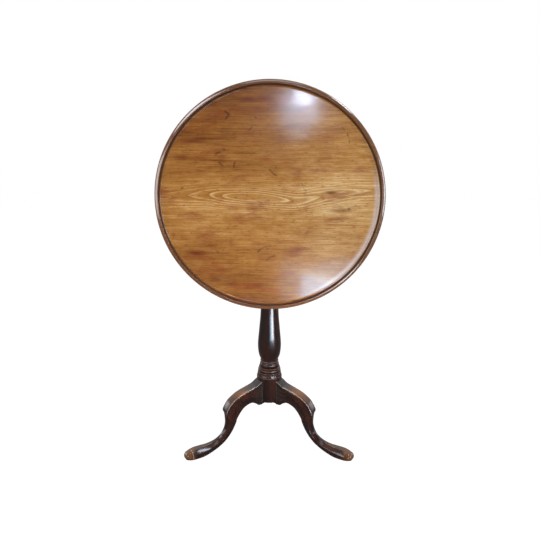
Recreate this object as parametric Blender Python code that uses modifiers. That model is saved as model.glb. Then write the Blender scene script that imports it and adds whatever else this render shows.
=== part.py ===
"""Tilt-top tripod tea table with a birdcage, its dished top tipped up to the vertical.

Metres, +Z up, and the tipped top faces -Y. The table stands on z = 0, and its origin is under the middle of
its bounding box.
"""

from math import cos, pi, radians, sin, sqrt

import bmesh
import bpy
from mathutils import Matrix, Vector

# Fits: between pieces that touch, on running shafts, and beside the cage where the bearers swing
GAP = 0.0003
RUNNING_GAP = 0.0005
SIDE_GAP = 0.0008

# Top board, turned from one disc
TABLE_HEIGHT = 0.710
TOP_RADIUS = 0.306
TOP_THICKNESS = 0.020
FIELD_THICKNESS = 0.0112
LIP_WIDTH = 0.0085
BEAD_WIDTH = 0.0030
COVE_WIDTH = 0.0045
EDGE_UNDERCUT = 0.020
FIELD_FILLET = 0.0009
COVE_RISE = 0.0013
TOP_SEGMENTS = 64

# Rim shares: how high the bead's middle stands, and the undercut edge by its own width and the thickness
BEAD_SHARE = 0.45
EDGE_SHAPE = ((0.22, 0.34), (0.55, 0.10))

# Birdcage: two square plates, four colonnettes
CAGE_WIDTH = 0.170
PLATE_THICKNESS = 0.022
CAGE_OPENING = 0.070
PLATE_BEVEL = 0.0015
COLUMN_INSET = 0.025
COLUMN_RADIUS = 0.0135
COLUMN_BLOCK = 0.008
COLUMN_NECK_RADIUS = 0.0080
COLUMN_NECK_LENGTH = 0.014
COLUMN_BELLY_RADIUS = 0.0122
COLUMN_BELLY_RISE = 0.019
COLUMN_TENON_RADIUS = 0.007
COLUMN_TENON_LENGTH = 0.012
COLUMN_SEGMENTS = 12
PINTLE_RADIUS = 0.008
PINTLE_LENGTH = 0.020
PINTLE_SEGMENTS = 20
NOSE_STEPS = 12

# Pillar, from the floor up: each rise is measured from the feature below it
DRUM_BOTTOM = 0.120
DRUM_RISE = 0.0848
DRUM_RADIUS = 0.0378
FLARE_RISE = 0.0307
FLARE_RADIUS = 0.0278
FLARE_FILLET = 0.0027
NECK_RISE = 0.018
NECK_RADIUS = 0.0262
VASE_FOOT_RISE = 0.0175
VASE_FOOT_RADIUS = 0.0318
VASE_RISE = 0.031
VASE_RADIUS = 0.0346
STEM_RISE = 0.098
STEM_RADIUS = 0.0267
STEM_TOP_RADIUS = 0.0232
ASTRAGAL_RADIUS = 0.004
CAP_COVE = 0.0085
CAP_THICKNESS = 0.008
CAP_RADIUS = 0.033
SHAFT_RADIUS = 0.022
SHAFT_HEADROOM = 0.012
SPIGOT_RADIUS = 0.013
SPIGOT_RECESS = 0.002
ARCH_HEIGHT = 0.009
ARCH_HALF_WIDTH = 0.021
ARCH_OUT = 0.0321
ARCH_SEGMENTS = 48
PILLAR_SEGMENTS = 32

# Beads turned on the pillar, above the flare and above the drum: rise, radius of the middle, half width
NECK_BEAD = (0.0095, 0.0266, 0.0035)
FLARE_BEADS = ((0.0189, 0.0330, 0.0032), (0.0112, 0.0342, 0.0041), (0.0041, 0.0357, 0.0027))
BEAD_STEPS = 3

# Wedge and collar that hold the cage down on the pillar
COLLAR_RADIUS = 0.040
COLLAR_THICKNESS = 0.014
COLLAR_ROUNDING = 0.0028
WEDGE_THICKNESS = 0.0094
WEDGE_LENGTH = 0.090
WEDGE_THICK_END = 0.024
WEDGE_THIN_END = 0.018

# Legs: three, each a loft of rounded rectangles, and the dovetail that slides up into the drum
LEG_ANGLES = {"leg_front_left": 210, "leg_front_right": 330, "leg_rear": 90}
TAIL_DEPTH = 0.014
TAIL_MOUTH = 0.012
TAIL_WIDTH = 0.018
TAIL_HEIGHT = 0.054
TAIL_ROOT = 0.004
ROOT_OVERLAP = 0.008
SHOULDER_SEGMENTS = 80
LEG_REACH = 0.2437
LEG_STEPS = 2

# Sections down the leg: upper and lower edge as (out from the drum, height), half width, both roundings
KNEE_SECTIONS = (
    ((-ROOT_OVERLAP, 0.1960), (-ROOT_OVERLAP, 0.1190), 0.0180, 0.0010, 0.0010),
    ((0.0007, 0.1915), (0.0007, 0.1190), 0.0180, 0.0010, 0.0010),
    ((0.0142, 0.1825), (0.0092, 0.1195), 0.0178, 0.0010, 0.0010),
    ((0.0282, 0.1775), (0.0192, 0.1270), 0.0175, 0.0010, 0.0010),
    ((0.0462, 0.1725), (0.0322, 0.1320), 0.0170, 0.0010, 0.0010),
    ((0.0652, 0.1665), (0.0487, 0.1270), 0.0165, 0.0012, 0.0015),
    ((0.0822, 0.1580), (0.0592, 0.1195), 0.0160, 0.0012, 0.0020),
    ((0.0992, 0.1450), (0.0682, 0.1095), 0.0160, 0.0012, 0.0025),
    ((0.1127, 0.1255), (0.0762, 0.0965), 0.0155, 0.0014, 0.0035),
    ((0.1147, 0.1170), (0.0784, 0.0915), 0.0150, 0.0016, 0.0040),
)
SHIN_SECTIONS = (
    ((0.1132, 0.1105), (0.0794, 0.0885), 0.0148, 0.0080, 0.0045),
    ((0.1109, 0.0960), (0.0820, 0.0810), 0.0144, 0.0095, 0.0055),
    ((0.1107, 0.0790), (0.0867, 0.0695), 0.0139, 0.0100, 0.0070),
    ((0.1162, 0.0605), (0.0952, 0.0535), 0.0134, 0.0100, 0.0080),
    ((0.1282, 0.0435), (0.1082, 0.0360), 0.0132, 0.0100, 0.0080),
    ((0.1467, 0.0315), (0.1267, 0.0205), 0.0142, 0.0100, 0.0070),
)
FOOT_SECTIONS = (
    ((0.1702, 0.0260), (0.1522, 0.0080), 0.0165, 0.0105, 0.0050),
    ((0.1952, 0.0248), (0.1862, 0.0000), 0.0198, 0.0110, 0.0030),
    ((0.2142, 0.0246), (0.2132, 0.0000), 0.0212, 0.0115, 0.0025),
    ((0.2282, 0.0220), (0.2282, 0.0000), 0.0200, 0.0115, 0.0025),
    ((0.2372, 0.0170), (0.2372, 0.0000), 0.0160, 0.0085, 0.0030),
    ((0.2425, 0.0115), (0.2422, 0.0025), 0.0095, 0.0045, 0.0040),
    ((0.2437, 0.0090), (0.2435, 0.0050), 0.0045, 0.0018, 0.0018),
)

# Bearers under the top
BEARER_LENGTH = 0.450
BEARER_WIDTH = 0.026
BEARER_DEPTH = 0.026
BEARER_END_DEPTH = 0.010
BEARER_TAPER = 0.075
BEARER_SCREW_INSET = 0.035
BEARER_MIDDLE_SCREW = 0.030
BEARER_SCREW_BITE = 0.007
BEARER_SCREW_SINK = 0.0005

# Brass catch and strike
CATCH_LENGTH = 0.050
CATCH_WIDTH = 0.026
CATCH_DEPTH = 0.0185
CATCH_FLANGE = 0.011
CATCH_FLANGE_THICKNESS = 0.0025
CATCH_STANDOFF = 0.007
CATCH_SCREW_INSET = 0.008
BOLT_WIDTH = 0.012
BOLT_THICKNESS = 0.008
BOLT_LENGTH = 0.050
BOLT_REACH = 0.0015
BOLT_TRAVEL = 0.010
KNOB_RADIUS = 0.006
KNOB_POST_RADIUS = 0.0024
KNOB_CLEARANCE = 0.0015
KNOB_THICKNESS = 0.0078
KNOB_SEGMENTS = 16
STRIKE_LENGTH = 0.040
STRIKE_HEIGHT = 0.016
STRIKE_THICKNESS = 0.002
STRIKE_HOLE_MARGIN = 0.001

# The knob's turned edge, from its underside out: shares of its radius and thickness
KNOB_SHAPE = ((0.70, 0.06), (1.00, 0.38), (0.92, 0.77), (0.45, 0.96), (0.0, 1.00))

# Screws: head radius, shank radius, length
BEARER_SCREW = (0.0050, 0.0024, 0.024)
CATCH_SCREW = (0.0030, 0.0013, 0.009)
STRIKE_SCREW = (0.0026, 0.0012, 0.010)
HEAD_WELL = 0.001
SCREW_SEGMENTS = 8
SCREW_TURN = radians(8)

# Places that follow from the sizes above
CAGE_HALF = CAGE_WIDTH / 2
PIVOT_DROP = PLATE_THICKNESS / 2 + GAP
PIVOT_Z = TABLE_HEIGHT - TOP_THICKNESS - PIVOT_DROP
PIVOT_Y = -(CAGE_HALF - PLATE_THICKNESS / 2)
UPPER_PLATE_Z = PIVOT_Z - PLATE_THICKNESS / 2
LOWER_PLATE_TOP = UPPER_PLATE_Z - CAGE_OPENING
LOWER_PLATE_Z = LOWER_PLATE_TOP - PLATE_THICKNESS
COLLAR_Z = LOWER_PLATE_TOP + GAP
WEDGE_Z = COLLAR_Z + COLLAR_THICKNESS + GAP
COLUMN_PLACE = CAGE_HALF - COLUMN_INSET
BEARER_X = CAGE_HALF + SIDE_GAP + BEARER_WIDTH / 2
CATCH_Y = CAGE_HALF + CATCH_STANDOFF + CATCH_LENGTH / 2
TIPPED = radians(90)


def clear_scene():
    for item in list(bpy.data.objects):
        bpy.data.objects.remove(item, do_unlink=True)
    for group in list(bpy.data.collections):
        bpy.data.collections.remove(group)


def new_collection(name):
    group = bpy.data.collections.new(name)
    bpy.context.scene.collection.children.link(group)
    return group


def new_material(name, colour, roughness, metallic=0.0):
    material = bpy.data.materials.new(name)
    material.use_nodes = True
    shader = material.node_tree.nodes["Principled BSDF"]
    shader.inputs["Base Color"].default_value = (*colour, 1.0)
    shader.inputs["Roughness"].default_value = roughness
    shader.inputs["Metallic"].default_value = metallic
    material.diffuse_color = (*colour, 1.0)
    return material


def new_object(name, mesh, group, parent=None):
    item = bpy.data.objects.new(name, mesh)
    group.objects.link(item)
    item.parent = parent
    return item


def new_axis(name, place, parent=None):
    axis = bpy.data.objects.new(name, None)
    parts.objects.link(axis)
    axis.location = place
    axis.parent = parent
    axis.empty_display_size = 0.05
    return axis


def finish(item, material, smooth_angle=30):
    item.data.materials.clear()
    item.data.materials.append(material)
    item.data.shade_smooth()
    item.data.set_sharp_from_angle(angle=radians(smooth_angle))
    return item


def mesh_from(name, build):
    mesh = bpy.data.meshes.new(name)
    form = bmesh.new()
    build(form)
    bmesh.ops.recalc_face_normals(form, faces=form.faces[:])
    form.to_mesh(mesh)
    form.free()
    return mesh


def turned(name, profile, segments, group, parent=None, closed=False, start=0.0):
    """A profile of (radius, height) points, running down the outer side, turned about Z."""
    count = len(profile)
    edges = [(i, (i + 1) % count) for i in range(count if closed else count - 1)]
    mesh = bpy.data.meshes.new(name)
    mesh.from_pydata([(r * cos(start), r * sin(start), z) for r, z in profile], edges, [])
    item = new_object(name, mesh, group, parent)
    screw = item.modifiers.new("turn", "SCREW")
    screw.steps = segments
    screw.render_steps = segments
    screw.use_merge_vertices = True
    screw.merge_threshold = 0.00001
    return item


def block(name, size, group, parent=None, bevel=0.0):
    mesh = mesh_from(name, lambda form: bmesh.ops.create_cube(form, matrix=Matrix.Diagonal((*size, 1))))
    item = new_object(name, mesh, group, parent)
    if bevel:
        edge = item.modifiers.new("edges", "BEVEL")
        edge.width = bevel
        edge.segments = 2
    return item


def rod(name, radius, length, segments, group, parent=None):
    def build(form):
        bmesh.ops.create_cone(
            form, cap_ends=True, segments=segments, radius1=radius, radius2=radius, depth=length
        )

    return new_object(name, mesh_from(name, build), group, parent)


def extruded(name, outline, depth, group, parent=None):
    """A flat outline in XY, pulled up along Z by the depth."""
    def build(form):
        face = form.faces.new([form.verts.new((x, y, 0)) for x, y in outline])
        pulled = bmesh.ops.extrude_face_region(form, geom=[face])
        tops = [v for v in pulled["geom"] if isinstance(v, bmesh.types.BMVert)]
        bmesh.ops.translate(form, verts=tops, vec=(0, 0, depth))

    return new_object(name, mesh_from(name, build), group, parent)


def combine(item, other, operation):
    step = item.modifiers.new(other.name, "BOOLEAN")
    step.operation = operation
    step.object = other
    other.hide_render = True
    other.display_type = "WIRE"


def cut(item, cutter):
    combine(item, cutter, "DIFFERENCE")


def join(item, other):
    combine(item, other, "UNION")


def baked_mesh(item):
    """The mesh of an object with its modifiers applied."""
    bpy.context.view_layer.update()
    seen = item.evaluated_get(bpy.context.evaluated_depsgraph_get())
    return bpy.data.meshes.new_from_object(seen)


def arc(centre, radius, start, end, steps):
    """Points on an arc in (radius, height), angles in degrees from the outward direction."""
    turns = [radians(start + (end - start) * i / steps) for i in range(steps + 1)]
    return [(centre[0] + radius * cos(t), centre[1] + radius * sin(t)) for t in turns]


def spline(points, steps):
    """A Catmull-Rom curve through points of any size, ends included."""
    points = [Vector(p) for p in points]
    padded = [2 * points[0] - points[1], *points, 2 * points[-1] - points[-2]]
    curve = []
    for a, b, c, d in zip(padded, padded[1:], padded[2:], padded[3:]):
        for i in range(steps):
            t = i / steps
            curve.append(
                b + (c - a) * t / 2 + (a - 2.5 * b + 2 * c - d / 2) * t**2
                + (1.5 * b - a / 2 - 1.5 * c + d / 2) * t**3
            )
    return curve + [points[-1]]


def screw_profile(size, gap=0.0, well=0.0):
    """A countersunk screw pointing down from its head, whose face is at height 0, or its hole and well."""
    head, shank, length = size
    depth = head - shank
    rim = [(0, well), (head + gap, well)] if well else [(0, 0)]
    return rim + [
        (head + gap, 0), (shank + gap, -depth - gap),
        (shank + gap, -length + shank - gap), (0, -length - gap),
    ]


def place_screw(name, size, place, turn, parent, pieces, well=HEAD_WELL):
    """A screw and its clearance holes in the pieces that it holds together."""
    screw = turned(name, screw_profile(size), SCREW_SEGMENTS, parts, parent, start=SCREW_TURN)
    bore = screw_profile(size, GAP, well)
    hole = turned(f"{name}_hole", bore, SCREW_SEGMENTS, cutters, parent, start=SCREW_TURN)
    for item in (screw, hole):
        item.location = place
        item.rotation_euler = turn
    for piece in pieces:
        cut(piece, hole)
    finish(screw, steel)


def bead(base, rise, radius, half_width):
    return arc((radius, base + rise), half_width, 80, -70, BEAD_STEPS)


def make_pillar():
    drum_top = DRUM_BOTTOM + DRUM_RISE
    flare_z = drum_top + FLARE_RISE
    neck_z = flare_z + NECK_RISE
    vase_foot_z = neck_z + VASE_FOOT_RISE
    vase_z = vase_foot_z + VASE_RISE
    stem_z = vase_z + STEM_RISE
    shoulder = LOWER_PLATE_Z - GAP
    shaft_top = UPPER_PLATE_Z - SHAFT_HEADROOM
    spigot_top = UPPER_PLATE_Z + PLATE_THICKNESS - SPIGOT_RECESS
    cove_top = shoulder - CAP_THICKNESS
    stem_top = cove_top - CAP_COVE - 2 * ASTRAGAL_RADIUS
    shaft = [
        (0, spigot_top), (SPIGOT_RADIUS, spigot_top), (SPIGOT_RADIUS, shaft_top),
        (SHAFT_RADIUS, shaft_top), (SHAFT_RADIUS, shoulder), (CAP_RADIUS, shoulder),
    ]
    cap = arc((CAP_RADIUS, cove_top - CAP_COVE), CAP_COVE, 90, 180, 4)
    astragal = arc((STEM_TOP_RADIUS, stem_top + ASTRAGAL_RADIUS), ASTRAGAL_RADIUS, 75, -75, 4)
    stem = spline(
        [
            (STEM_TOP_RADIUS, stem_top),
            ((STEM_TOP_RADIUS + STEM_RADIUS) / 2, (stem_top + stem_z) / 2),
            (STEM_RADIUS, stem_z),
            ((STEM_RADIUS + VASE_RADIUS) / 2, (stem_z + vase_z) / 2),
            (VASE_RADIUS, vase_z),
            (VASE_FOOT_RADIUS, vase_foot_z),
            (NECK_RADIUS, neck_z),
        ],
        2,
    )
    flare = [(FLARE_RADIUS, flare_z + FLARE_FILLET), (FLARE_RADIUS, flare_z)]
    beads = [point for ring in FLARE_BEADS for point in bead(drum_top, *ring)]
    drum = [(DRUM_RADIUS, drum_top), (DRUM_RADIUS, DRUM_BOTTOM), (0, DRUM_BOTTOM)]
    profile = shaft + cap + astragal + [tuple(p) for p in stem]
    profile += bead(flare_z, *NECK_BEAD) + flare + beads + drum
    return turned("pillar", profile, PILLAR_SEGMENTS, parts, root)


def dovetail_outline(gap):
    """The tail in plan, outward along X: widest at its inner end, and long enough to enter the leg."""
    inner = DRUM_RADIUS - TAIL_DEPTH - gap
    outer = DRUM_RADIUS + TAIL_ROOT
    slope = (TAIL_WIDTH - TAIL_MOUTH) / 2 / TAIL_DEPTH
    half_inner = TAIL_WIDTH / 2 + gap * sqrt(1 + slope**2) + gap * slope
    half_outer = half_inner - slope * (outer - inner)
    return [(inner, -half_inner), (outer, -half_outer), (outer, half_outer), (inner, half_inner)]


def cut_pillar(pillar):
    tail_bottom = DRUM_BOTTOM - TAIL_ROOT
    tail_top = DRUM_BOTTOM + TAIL_HEIGHT + GAP
    arch_radius = (ARCH_HALF_WIDTH**2 + ARCH_HEIGHT**2) / (2 * ARCH_HEIGHT)
    for name, angle in LEG_ANGLES.items():
        slot = extruded(f"{name}_slot", dovetail_outline(GAP), tail_top - tail_bottom, cutters, root)
        slot.location = (0, 0, tail_bottom)
        slot.rotation_euler = (0, 0, radians(angle))
        cut(pillar, slot)
        arch = rod(f"{name}_arch", arch_radius, DRUM_RADIUS, ARCH_SEGMENTS, cutters, root)
        away = Vector((cos(radians(angle + 180)), sin(radians(angle + 180)), 0))
        arch.location = away * ARCH_OUT + Vector((0, 0, DRUM_BOTTOM + ARCH_HEIGHT - arch_radius))
        arch.rotation_euler = (0, pi / 2, radians(angle))
        cut(pillar, arch)
    slope = (WEDGE_THICK_END - WEDGE_THIN_END) / WEDGE_LENGTH
    wedge_height = (WEDGE_THICK_END + WEDGE_THIN_END) / 2 + slope * SHAFT_RADIUS
    slot_top = WEDGE_Z + wedge_height + GAP
    slot_bottom = WEDGE_Z - 2 * GAP
    size = (3 * SHAFT_RADIUS, WEDGE_THICKNESS + 2 * GAP, slot_top - slot_bottom)
    mortise = block("wedge_slot", size, cutters, root)
    mortise.location = (0, 0, (slot_top + slot_bottom) / 2)
    cut(pillar, mortise)


def rounded_section(upper, lower, half_width, upper_round, lower_round):
    """A rounded rectangle across the leg, between a point on its upper and one on its lower edge."""
    upper, lower = Vector((upper[0], 0, upper[1])), Vector((lower[0], 0, lower[1]))
    up = (upper - lower).normalized()
    side = Vector((0, 1, 0))
    half_height = (upper - lower).length / 2
    middle = (upper + lower) / 2
    ring = []
    for quarter, radius in enumerate((upper_round, upper_round, lower_round, lower_round)):
        radius = min(radius, half_width, half_height)
        across = (half_width - radius) * (1 if quarter in (0, 3) else -1)
        along = (half_height - radius) * (1 if quarter in (0, 1) else -1)
        for step in range(3):
            turn = radians(90 * quarter + 45 * step)
            ring.append(middle + side * (across + radius * cos(turn)) + up * (along + radius * sin(turn)))
    return ring


def leg_loft(form):
    sections = KNEE_SECTIONS + SHIN_SECTIONS + FOOT_SECTIONS
    rows = [(*upper, *lower, *rest) for upper, lower, *rest in sections]
    toe_out = rows[-1][0]
    stretch = LEG_REACH / toe_out
    rings = []
    for out, high, low_out, low, *rest in spline(rows, LEG_STEPS):
        upper = (DRUM_RADIUS + stretch * out, high)
        lower = (DRUM_RADIUS + stretch * low_out, max(low, 0.0))
        rings.append([form.verts.new(point) for point in rounded_section(upper, lower, *rest)])
    for near, far in zip(rings, rings[1:]):
        bmesh.ops.bridge_loops(form, edges=ring_edges(form, near) + ring_edges(form, far))
    form.faces.new(rings[0])
    form.faces.new(rings[-1])


def ring_edges(form, ring):
    return [
        form.edges.get((a, b)) or form.edges.new((a, b))
        for a, b in zip(ring, ring[1:] + ring[:1])
    ]


def make_legs():
    model = new_object("leg_model", mesh_from("leg_model", leg_loft), cutters)
    drum = rod("leg_shoulder", DRUM_RADIUS + GAP, 3 * TABLE_HEIGHT, SHOULDER_SEGMENTS, cutters)
    tail = extruded("leg_tail", dovetail_outline(0), TAIL_HEIGHT, cutters)
    tail.location = (0, 0, DRUM_BOTTOM)
    cut(model, drum)
    join(model, tail)
    mesh = baked_mesh(model)
    for extra in (model, drum, tail):
        bpy.data.objects.remove(extra, do_unlink=True)
    for name, angle in LEG_ANGLES.items():
        leg = new_object(name, mesh, parts, root)
        leg.rotation_euler = (0, 0, radians(angle))
        finish(leg, dark_mahogany)


def make_clamp():
    bore = SHAFT_RADIUS + RUNNING_GAP
    top, bottom = COLLAR_Z + COLLAR_THICKNESS, COLLAR_Z
    soft = COLLAR_ROUNDING
    profile = [
        (bore, top), (COLLAR_RADIUS - soft, top), (COLLAR_RADIUS, top - soft),
        (COLLAR_RADIUS, bottom + soft), (COLLAR_RADIUS - soft, bottom), (bore, bottom),
    ]
    finish(turned("cage_collar", profile, PILLAR_SEGMENTS, parts, root, closed=True), dark_mahogany)
    half = WEDGE_LENGTH / 2
    outline = [(-half, 0), (half, 0), (half, WEDGE_THIN_END), (-half, WEDGE_THICK_END)]
    wedge = extruded("wedge_key", outline, WEDGE_THICKNESS, parts, root)
    wedge.rotation_euler = (pi / 2, 0, 0)
    wedge.location = (0, WEDGE_THICKNESS / 2, WEDGE_Z)
    finish(wedge, dark_mahogany)


def make_upper_plate():
    """The plate's front edge is a half round about the pintles, so that the top can swing over it."""
    nose = PLATE_THICKNESS / 2
    outline = [tuple(p) for p in arc((PIVOT_Y, 0), nose, 90, 270, NOSE_STEPS)]
    outline += [(CAGE_HALF, -nose), (CAGE_HALF, nose)]
    plate = extruded("cage_upper_plate", outline, CAGE_WIDTH, parts, cage)
    plate.rotation_euler = (pi / 2, 0, pi / 2)
    plate.location = (-CAGE_HALF, 0, PIVOT_Z)
    pintles = rod(
        "pintles", PINTLE_RADIUS, CAGE_WIDTH + 2 * PINTLE_LENGTH, PINTLE_SEGMENTS, cutters, cage
    )
    pintles.rotation_euler = (0, pi / 2, 0)
    pintles.location = (0, PIVOT_Y, PIVOT_Z)
    join(plate, pintles)
    bore = SPIGOT_RADIUS + RUNNING_GAP
    spigot_hole = rod("spigot_hole", bore, 2 * PLATE_THICKNESS, PILLAR_SEGMENTS, cutters, cage)
    spigot_hole.location = (0, 0, PIVOT_Z)
    cut(plate, spigot_hole)
    return plate


def make_lower_plate():
    plate = block(
        "cage_lower_plate", (CAGE_WIDTH, CAGE_WIDTH, PLATE_THICKNESS), parts, cage, PLATE_BEVEL
    )
    plate.location = (0, 0, LOWER_PLATE_Z + PLATE_THICKNESS / 2)
    bore = rod("shaft_hole", SHAFT_RADIUS + RUNNING_GAP, 2 * PLATE_THICKNESS, PILLAR_SEGMENTS, cutters, cage)
    bore.location = plate.location
    cut(plate, bore)
    return plate


def column_profile():
    """A small baluster between the plates, with a block and a round tenon at each end."""
    tenon, high, low = COLUMN_TENON_RADIUS, CAGE_OPENING - GAP, GAP
    body_top, body_bottom = high - COLUMN_BLOCK, low + COLUMN_BLOCK
    body = spline(
        [
            (COLUMN_NECK_RADIUS, body_top),
            (COLUMN_NECK_RADIUS, body_top - COLUMN_NECK_LENGTH),
            (COLUMN_BELLY_RADIUS, body_bottom + COLUMN_BELLY_RISE),
            (COLUMN_NECK_RADIUS, body_bottom),
        ],
        3,
    )
    top = [
        (0, CAGE_OPENING + COLUMN_TENON_LENGTH), (tenon, CAGE_OPENING + COLUMN_TENON_LENGTH),
        (tenon, high), (COLUMN_RADIUS, high), (COLUMN_RADIUS, body_top),
    ]
    bottom = [
        (COLUMN_RADIUS, body_bottom), (COLUMN_RADIUS, low), (tenon, low),
        (tenon, -COLUMN_TENON_LENGTH), (0, -COLUMN_TENON_LENGTH),
    ]
    return top + [tuple(p) for p in body] + bottom


def make_columns(plates):
    for side, x in (("left", -COLUMN_PLACE), ("right", COLUMN_PLACE)):
        for end, y in (("front", -COLUMN_PLACE), ("rear", COLUMN_PLACE)):
            name = f"cage_column_{end}_{side}"
            column = turned(name, column_profile(), COLUMN_SEGMENTS, parts, cage)
            column.location = (x, y, LOWER_PLATE_TOP)
            finish(column, dark_mahogany)
            length = CAGE_OPENING + 2 * (COLUMN_TENON_LENGTH + GAP)
            hole = rod(f"{name}_mortise", COLUMN_TENON_RADIUS + GAP, length, COLUMN_SEGMENTS, cutters, cage)
            hole.location = (x, y, LOWER_PLATE_TOP + CAGE_OPENING / 2)
            for plate in plates:
                cut(plate, hole)


def make_cage():
    upper, lower = make_upper_plate(), make_lower_plate()
    make_columns((upper, lower))
    make_strike(upper)
    finish(upper, dark_mahogany)
    finish(lower, dark_mahogany)


def make_strike(plate):
    """A brass plate let into the cage's rear edge, with a mortise behind it for the bolt."""
    recess = block(
        "strike_recess",
        (STRIKE_LENGTH + 2 * GAP, 2 * (STRIKE_THICKNESS + GAP), STRIKE_HEIGHT + 2 * GAP), cutters, cage,
    )
    margin = 2 * STRIKE_HOLE_MARGIN
    hole_size = (BOLT_WIDTH + margin, BOLT_THICKNESS + margin)
    depth = BOLT_TRAVEL + STRIKE_THICKNESS
    mortise = block("strike_mortise", (hole_size[0], 2 * depth, hole_size[1]), cutters, cage)
    for cutter in (recess, mortise):
        cutter.location = (0, CAGE_HALF, PIVOT_Z)
        cut(plate, cutter)
    strike = block("strike_plate", (STRIKE_LENGTH, STRIKE_THICKNESS, STRIKE_HEIGHT), parts, cage)
    strike.location = (0, CAGE_HALF - STRIKE_THICKNESS / 2, PIVOT_Z)
    cut(strike, mortise)
    for side, x in (("left", -1), ("right", 1)):
        place = (x * (STRIKE_LENGTH / 2 - 2 * STRIKE_SCREW[0]), CAGE_HALF, PIVOT_Z)
        place_screw(f"strike_screw_{side}", STRIKE_SCREW, place, (-pi / 2, 0, 0), cage, (strike, plate))
    finish(strike, brass)


def top_profile():
    """Half the turned board, from the middle of its field over the moulded rim to the underside."""
    field = FIELD_THICKNESS
    lip_radius = LIP_WIDTH / 2
    lip_centre = (TOP_RADIUS - lip_radius, TOP_THICKNESS - lip_radius)
    bead_radius = BEAD_WIDTH / 2
    bead_out = TOP_RADIUS - LIP_WIDTH - bead_radius
    bead_height = field + BEAD_SHARE * (TOP_THICKNESS - field)
    cove_out = bead_out - bead_radius
    field_edge = cove_out - COVE_WIDTH
    edge_foot = TOP_RADIUS - EDGE_UNDERCUT
    return [
        (0, field), (field_edge, field),
        (field_edge + FIELD_FILLET, field + FIELD_FILLET),
        (field_edge + COVE_WIDTH / 2, field + COVE_RISE),
        (cove_out, bead_height),
        *arc((bead_out, bead_height), bead_radius, 160, 20, 3),
        *arc(lip_centre, lip_radius, 170, -40, 7),
        *((TOP_RADIUS - EDGE_UNDERCUT * inward, TOP_THICKNESS * high) for inward, high in EDGE_SHAPE),
        (edge_foot, 0), (0, 0),
    ]


def make_top():
    board = turned("top_board", top_profile(), TOP_SEGMENTS, parts, tilt)
    board.location = (0, -PIVOT_Y, PIVOT_DROP)
    bearers = [make_bearer(side, board) for side in ("left", "right")]
    make_catch(board)
    finish(board, figured_mahogany)
    for bearer in bearers:
        finish(bearer, dark_mahogany)


def make_bearer(side, board):
    """A batten across the grain, tapered at its ends, bored for the pintle."""
    half, deep, thin = BEARER_LENGTH / 2, BEARER_DEPTH, BEARER_END_DEPTH
    outline = [(-half, 0), (-half, -thin), (-half + BEARER_TAPER, -deep)]
    outline += [(half - BEARER_TAPER, -deep), (half, -thin), (half, 0)]
    sign = -1 if side == "left" else 1
    bearer = extruded(f"bearer_{side}", outline, BEARER_WIDTH, parts, tilt)
    bearer.rotation_euler = (pi / 2, 0, pi / 2)
    under = PIVOT_DROP - GAP
    bearer.location = (sign * BEARER_X - BEARER_WIDTH / 2, -PIVOT_Y, under)
    depth = PINTLE_LENGTH + GAP - SIDE_GAP
    bore = PINTLE_RADIUS + RUNNING_GAP
    hole = rod(f"bearer_{side}_bore", bore, 2 * depth, PINTLE_SEGMENTS, cutters, tilt)
    hole.rotation_euler = (0, pi / 2, 0)
    hole.location = (sign * (CAGE_HALF + SIDE_GAP), 0, 0)
    cut(bearer, hole)
    end_screw = half - BEARER_SCREW_INSET
    for number, along in enumerate((-end_screw, BEARER_MIDDLE_SCREW, end_screw), 1):
        inward = max(0.0, abs(along) - (half - BEARER_TAPER)) / BEARER_TAPER
        sink = deep - (deep - thin) * inward
        head = under - min(sink, BEARER_SCREW[2] - BEARER_SCREW_BITE) + BEARER_SCREW_SINK
        place = (sign * BEARER_X, along - PIVOT_Y, head)
        name = f"bearer_screw_{side}_{number}"
        place_screw(name, BEARER_SCREW, place, (pi, 0, 0), tilt, (bearer, board), deep)
    return bearer


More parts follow.
